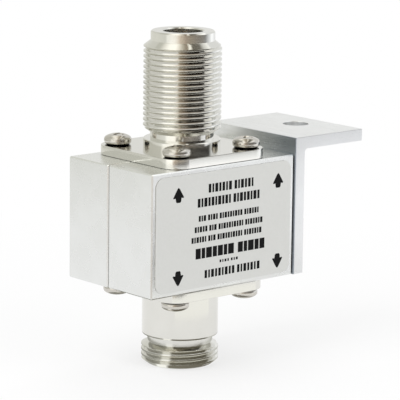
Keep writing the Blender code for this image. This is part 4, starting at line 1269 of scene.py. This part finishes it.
# Each card: its name, paint and colours, two (radius, height) ends and its span of bearings.
for name, paint, colours, start, end, span in (
    ("ceiling", "painted_ceiling", CEILING_COLOURS,
     (0, CARD_HEIGHT), (CARD_DISTANCE, CARD_HEIGHT), ALL_ROUND),
    ("upper_wall", "painted_upper_wall", UPPER_WALL_COLOURS,
     (CARD_DISTANCE, CARD_HEIGHT), (CARD_DISTANCE, HIGH_WALL_TOP), ALL_ROUND),
    ("high_wall", "painted_high_wall", HIGH_WALL_COLOURS,
     (CARD_DISTANCE, HIGH_WALL_TOP), (CARD_DISTANCE, LOW_WALL_TOP), ALL_ROUND),
    ("middle_wall", "painted_middle_wall", MIDDLE_WALL_COLOURS,
     (CARD_DISTANCE, LOW_WALL_TOP), (CARD_DISTANCE, MIDDLE_WALL_FOOT), ALL_ROUND),
    ("low_wall", "painted_low_wall", LOW_WALL_COLOURS,
     (CARD_DISTANCE, MIDDLE_WALL_FOOT), (CARD_DISTANCE, KERB_TOP), ALL_ROUND),
    ("kerb", "painted_kerb", KERB_COLOURS,
     (CARD_DISTANCE, KERB_TOP), (CARD_DISTANCE, KERB_FOOT), ALL_ROUND),
    ("apron", "white_apron", APRON_COLOURS,
     (APRON_INNER, APRON_HEIGHT), (CARD_DISTANCE, APRON_HEIGHT), APRON_SPAN),
    ("cloth", "black_cloth", CLOTH_COLOURS,
     (CLOTH_INNER, CLOTH_HEIGHT), (CLOTH_MIDDLE, CLOTH_HEIGHT), CLOTH_SPAN),
    ("far_cloth", "black_cloth", CLOTH_COLOURS,
     (CLOTH_MIDDLE, CLOTH_HEIGHT), (CLOTH_OUTER, CLOTH_HEIGHT), FAR_CLOTH_SPAN),
    ("fence", "painted_fence", FENCE_COLOURS,
     (FENCE_DISTANCE, FENCE_TOP), (FENCE_DISTANCE, FENCE_FOOT), CLOTH_SPAN),
    ("mat", "painted_mat", MAT_COLOURS,
     (MAT_INNER, MAT_HEIGHT), (MAT_OUTER, MAT_HEIGHT), ALL_ROUND),
):
    material = bpy.data.materials.get(paint) or card_finish(paint, colours, name == "ceiling")
    stand_cards(name, [start, end], material, span)

# Soft lamps: name, bearing from the camera to the right, elevation, distance, size and power.
LAMPS = (
    ("key_lamp", -42, 48, 800, 500, 3.0),
    ("fill_lamp", 62, 30, 800, 500, 1.4),
    ("back_lamp", 165, 58, 800, 400, 1.2),
)
for name, bearing, elevation, distance, size, power in LAMPS:
    lamp_data = bpy.data.lights.new(name, "AREA")
    lamp_data.size = size * MM
    lamp_data.energy = power
    lamp = add_object(name, lamp_data)
    heading = camera_bearing + math.radians(bearing)
    lean = math.radians(elevation)
    direction = Vector((
        math.cos(heading) * math.cos(lean), math.sin(heading) * math.cos(lean), math.sin(lean),
    ))
    lamp.location = CAMERA_AIM + direction * distance * MM
    lamp.rotation_mode = "QUATERNION"
    lamp.rotation_quaternion = direction.to_track_quat("Z", "Y")
    lamp.visible_camera = False

# White room: the camera and the metal see plain white, and the rest gets an even, weaker light.
ROOM_LIGHT = 0.5

world = bpy.data.worlds.new("white_room")
world.use_nodes = True
bpy.context.scene.world = world
tree = world.node_tree
room = tree.nodes["Background"]
strength = add_node(
    tree, "ShaderNodeMapRange", None, {"Value": seen_directly(tree), "To Min": ROOM_LIGHT},
)
plug(tree, room, {"Color": (1, 1, 1, 1), "Strength": strength})
bpy.context.scene.view_settings.view_transform = "Standard"
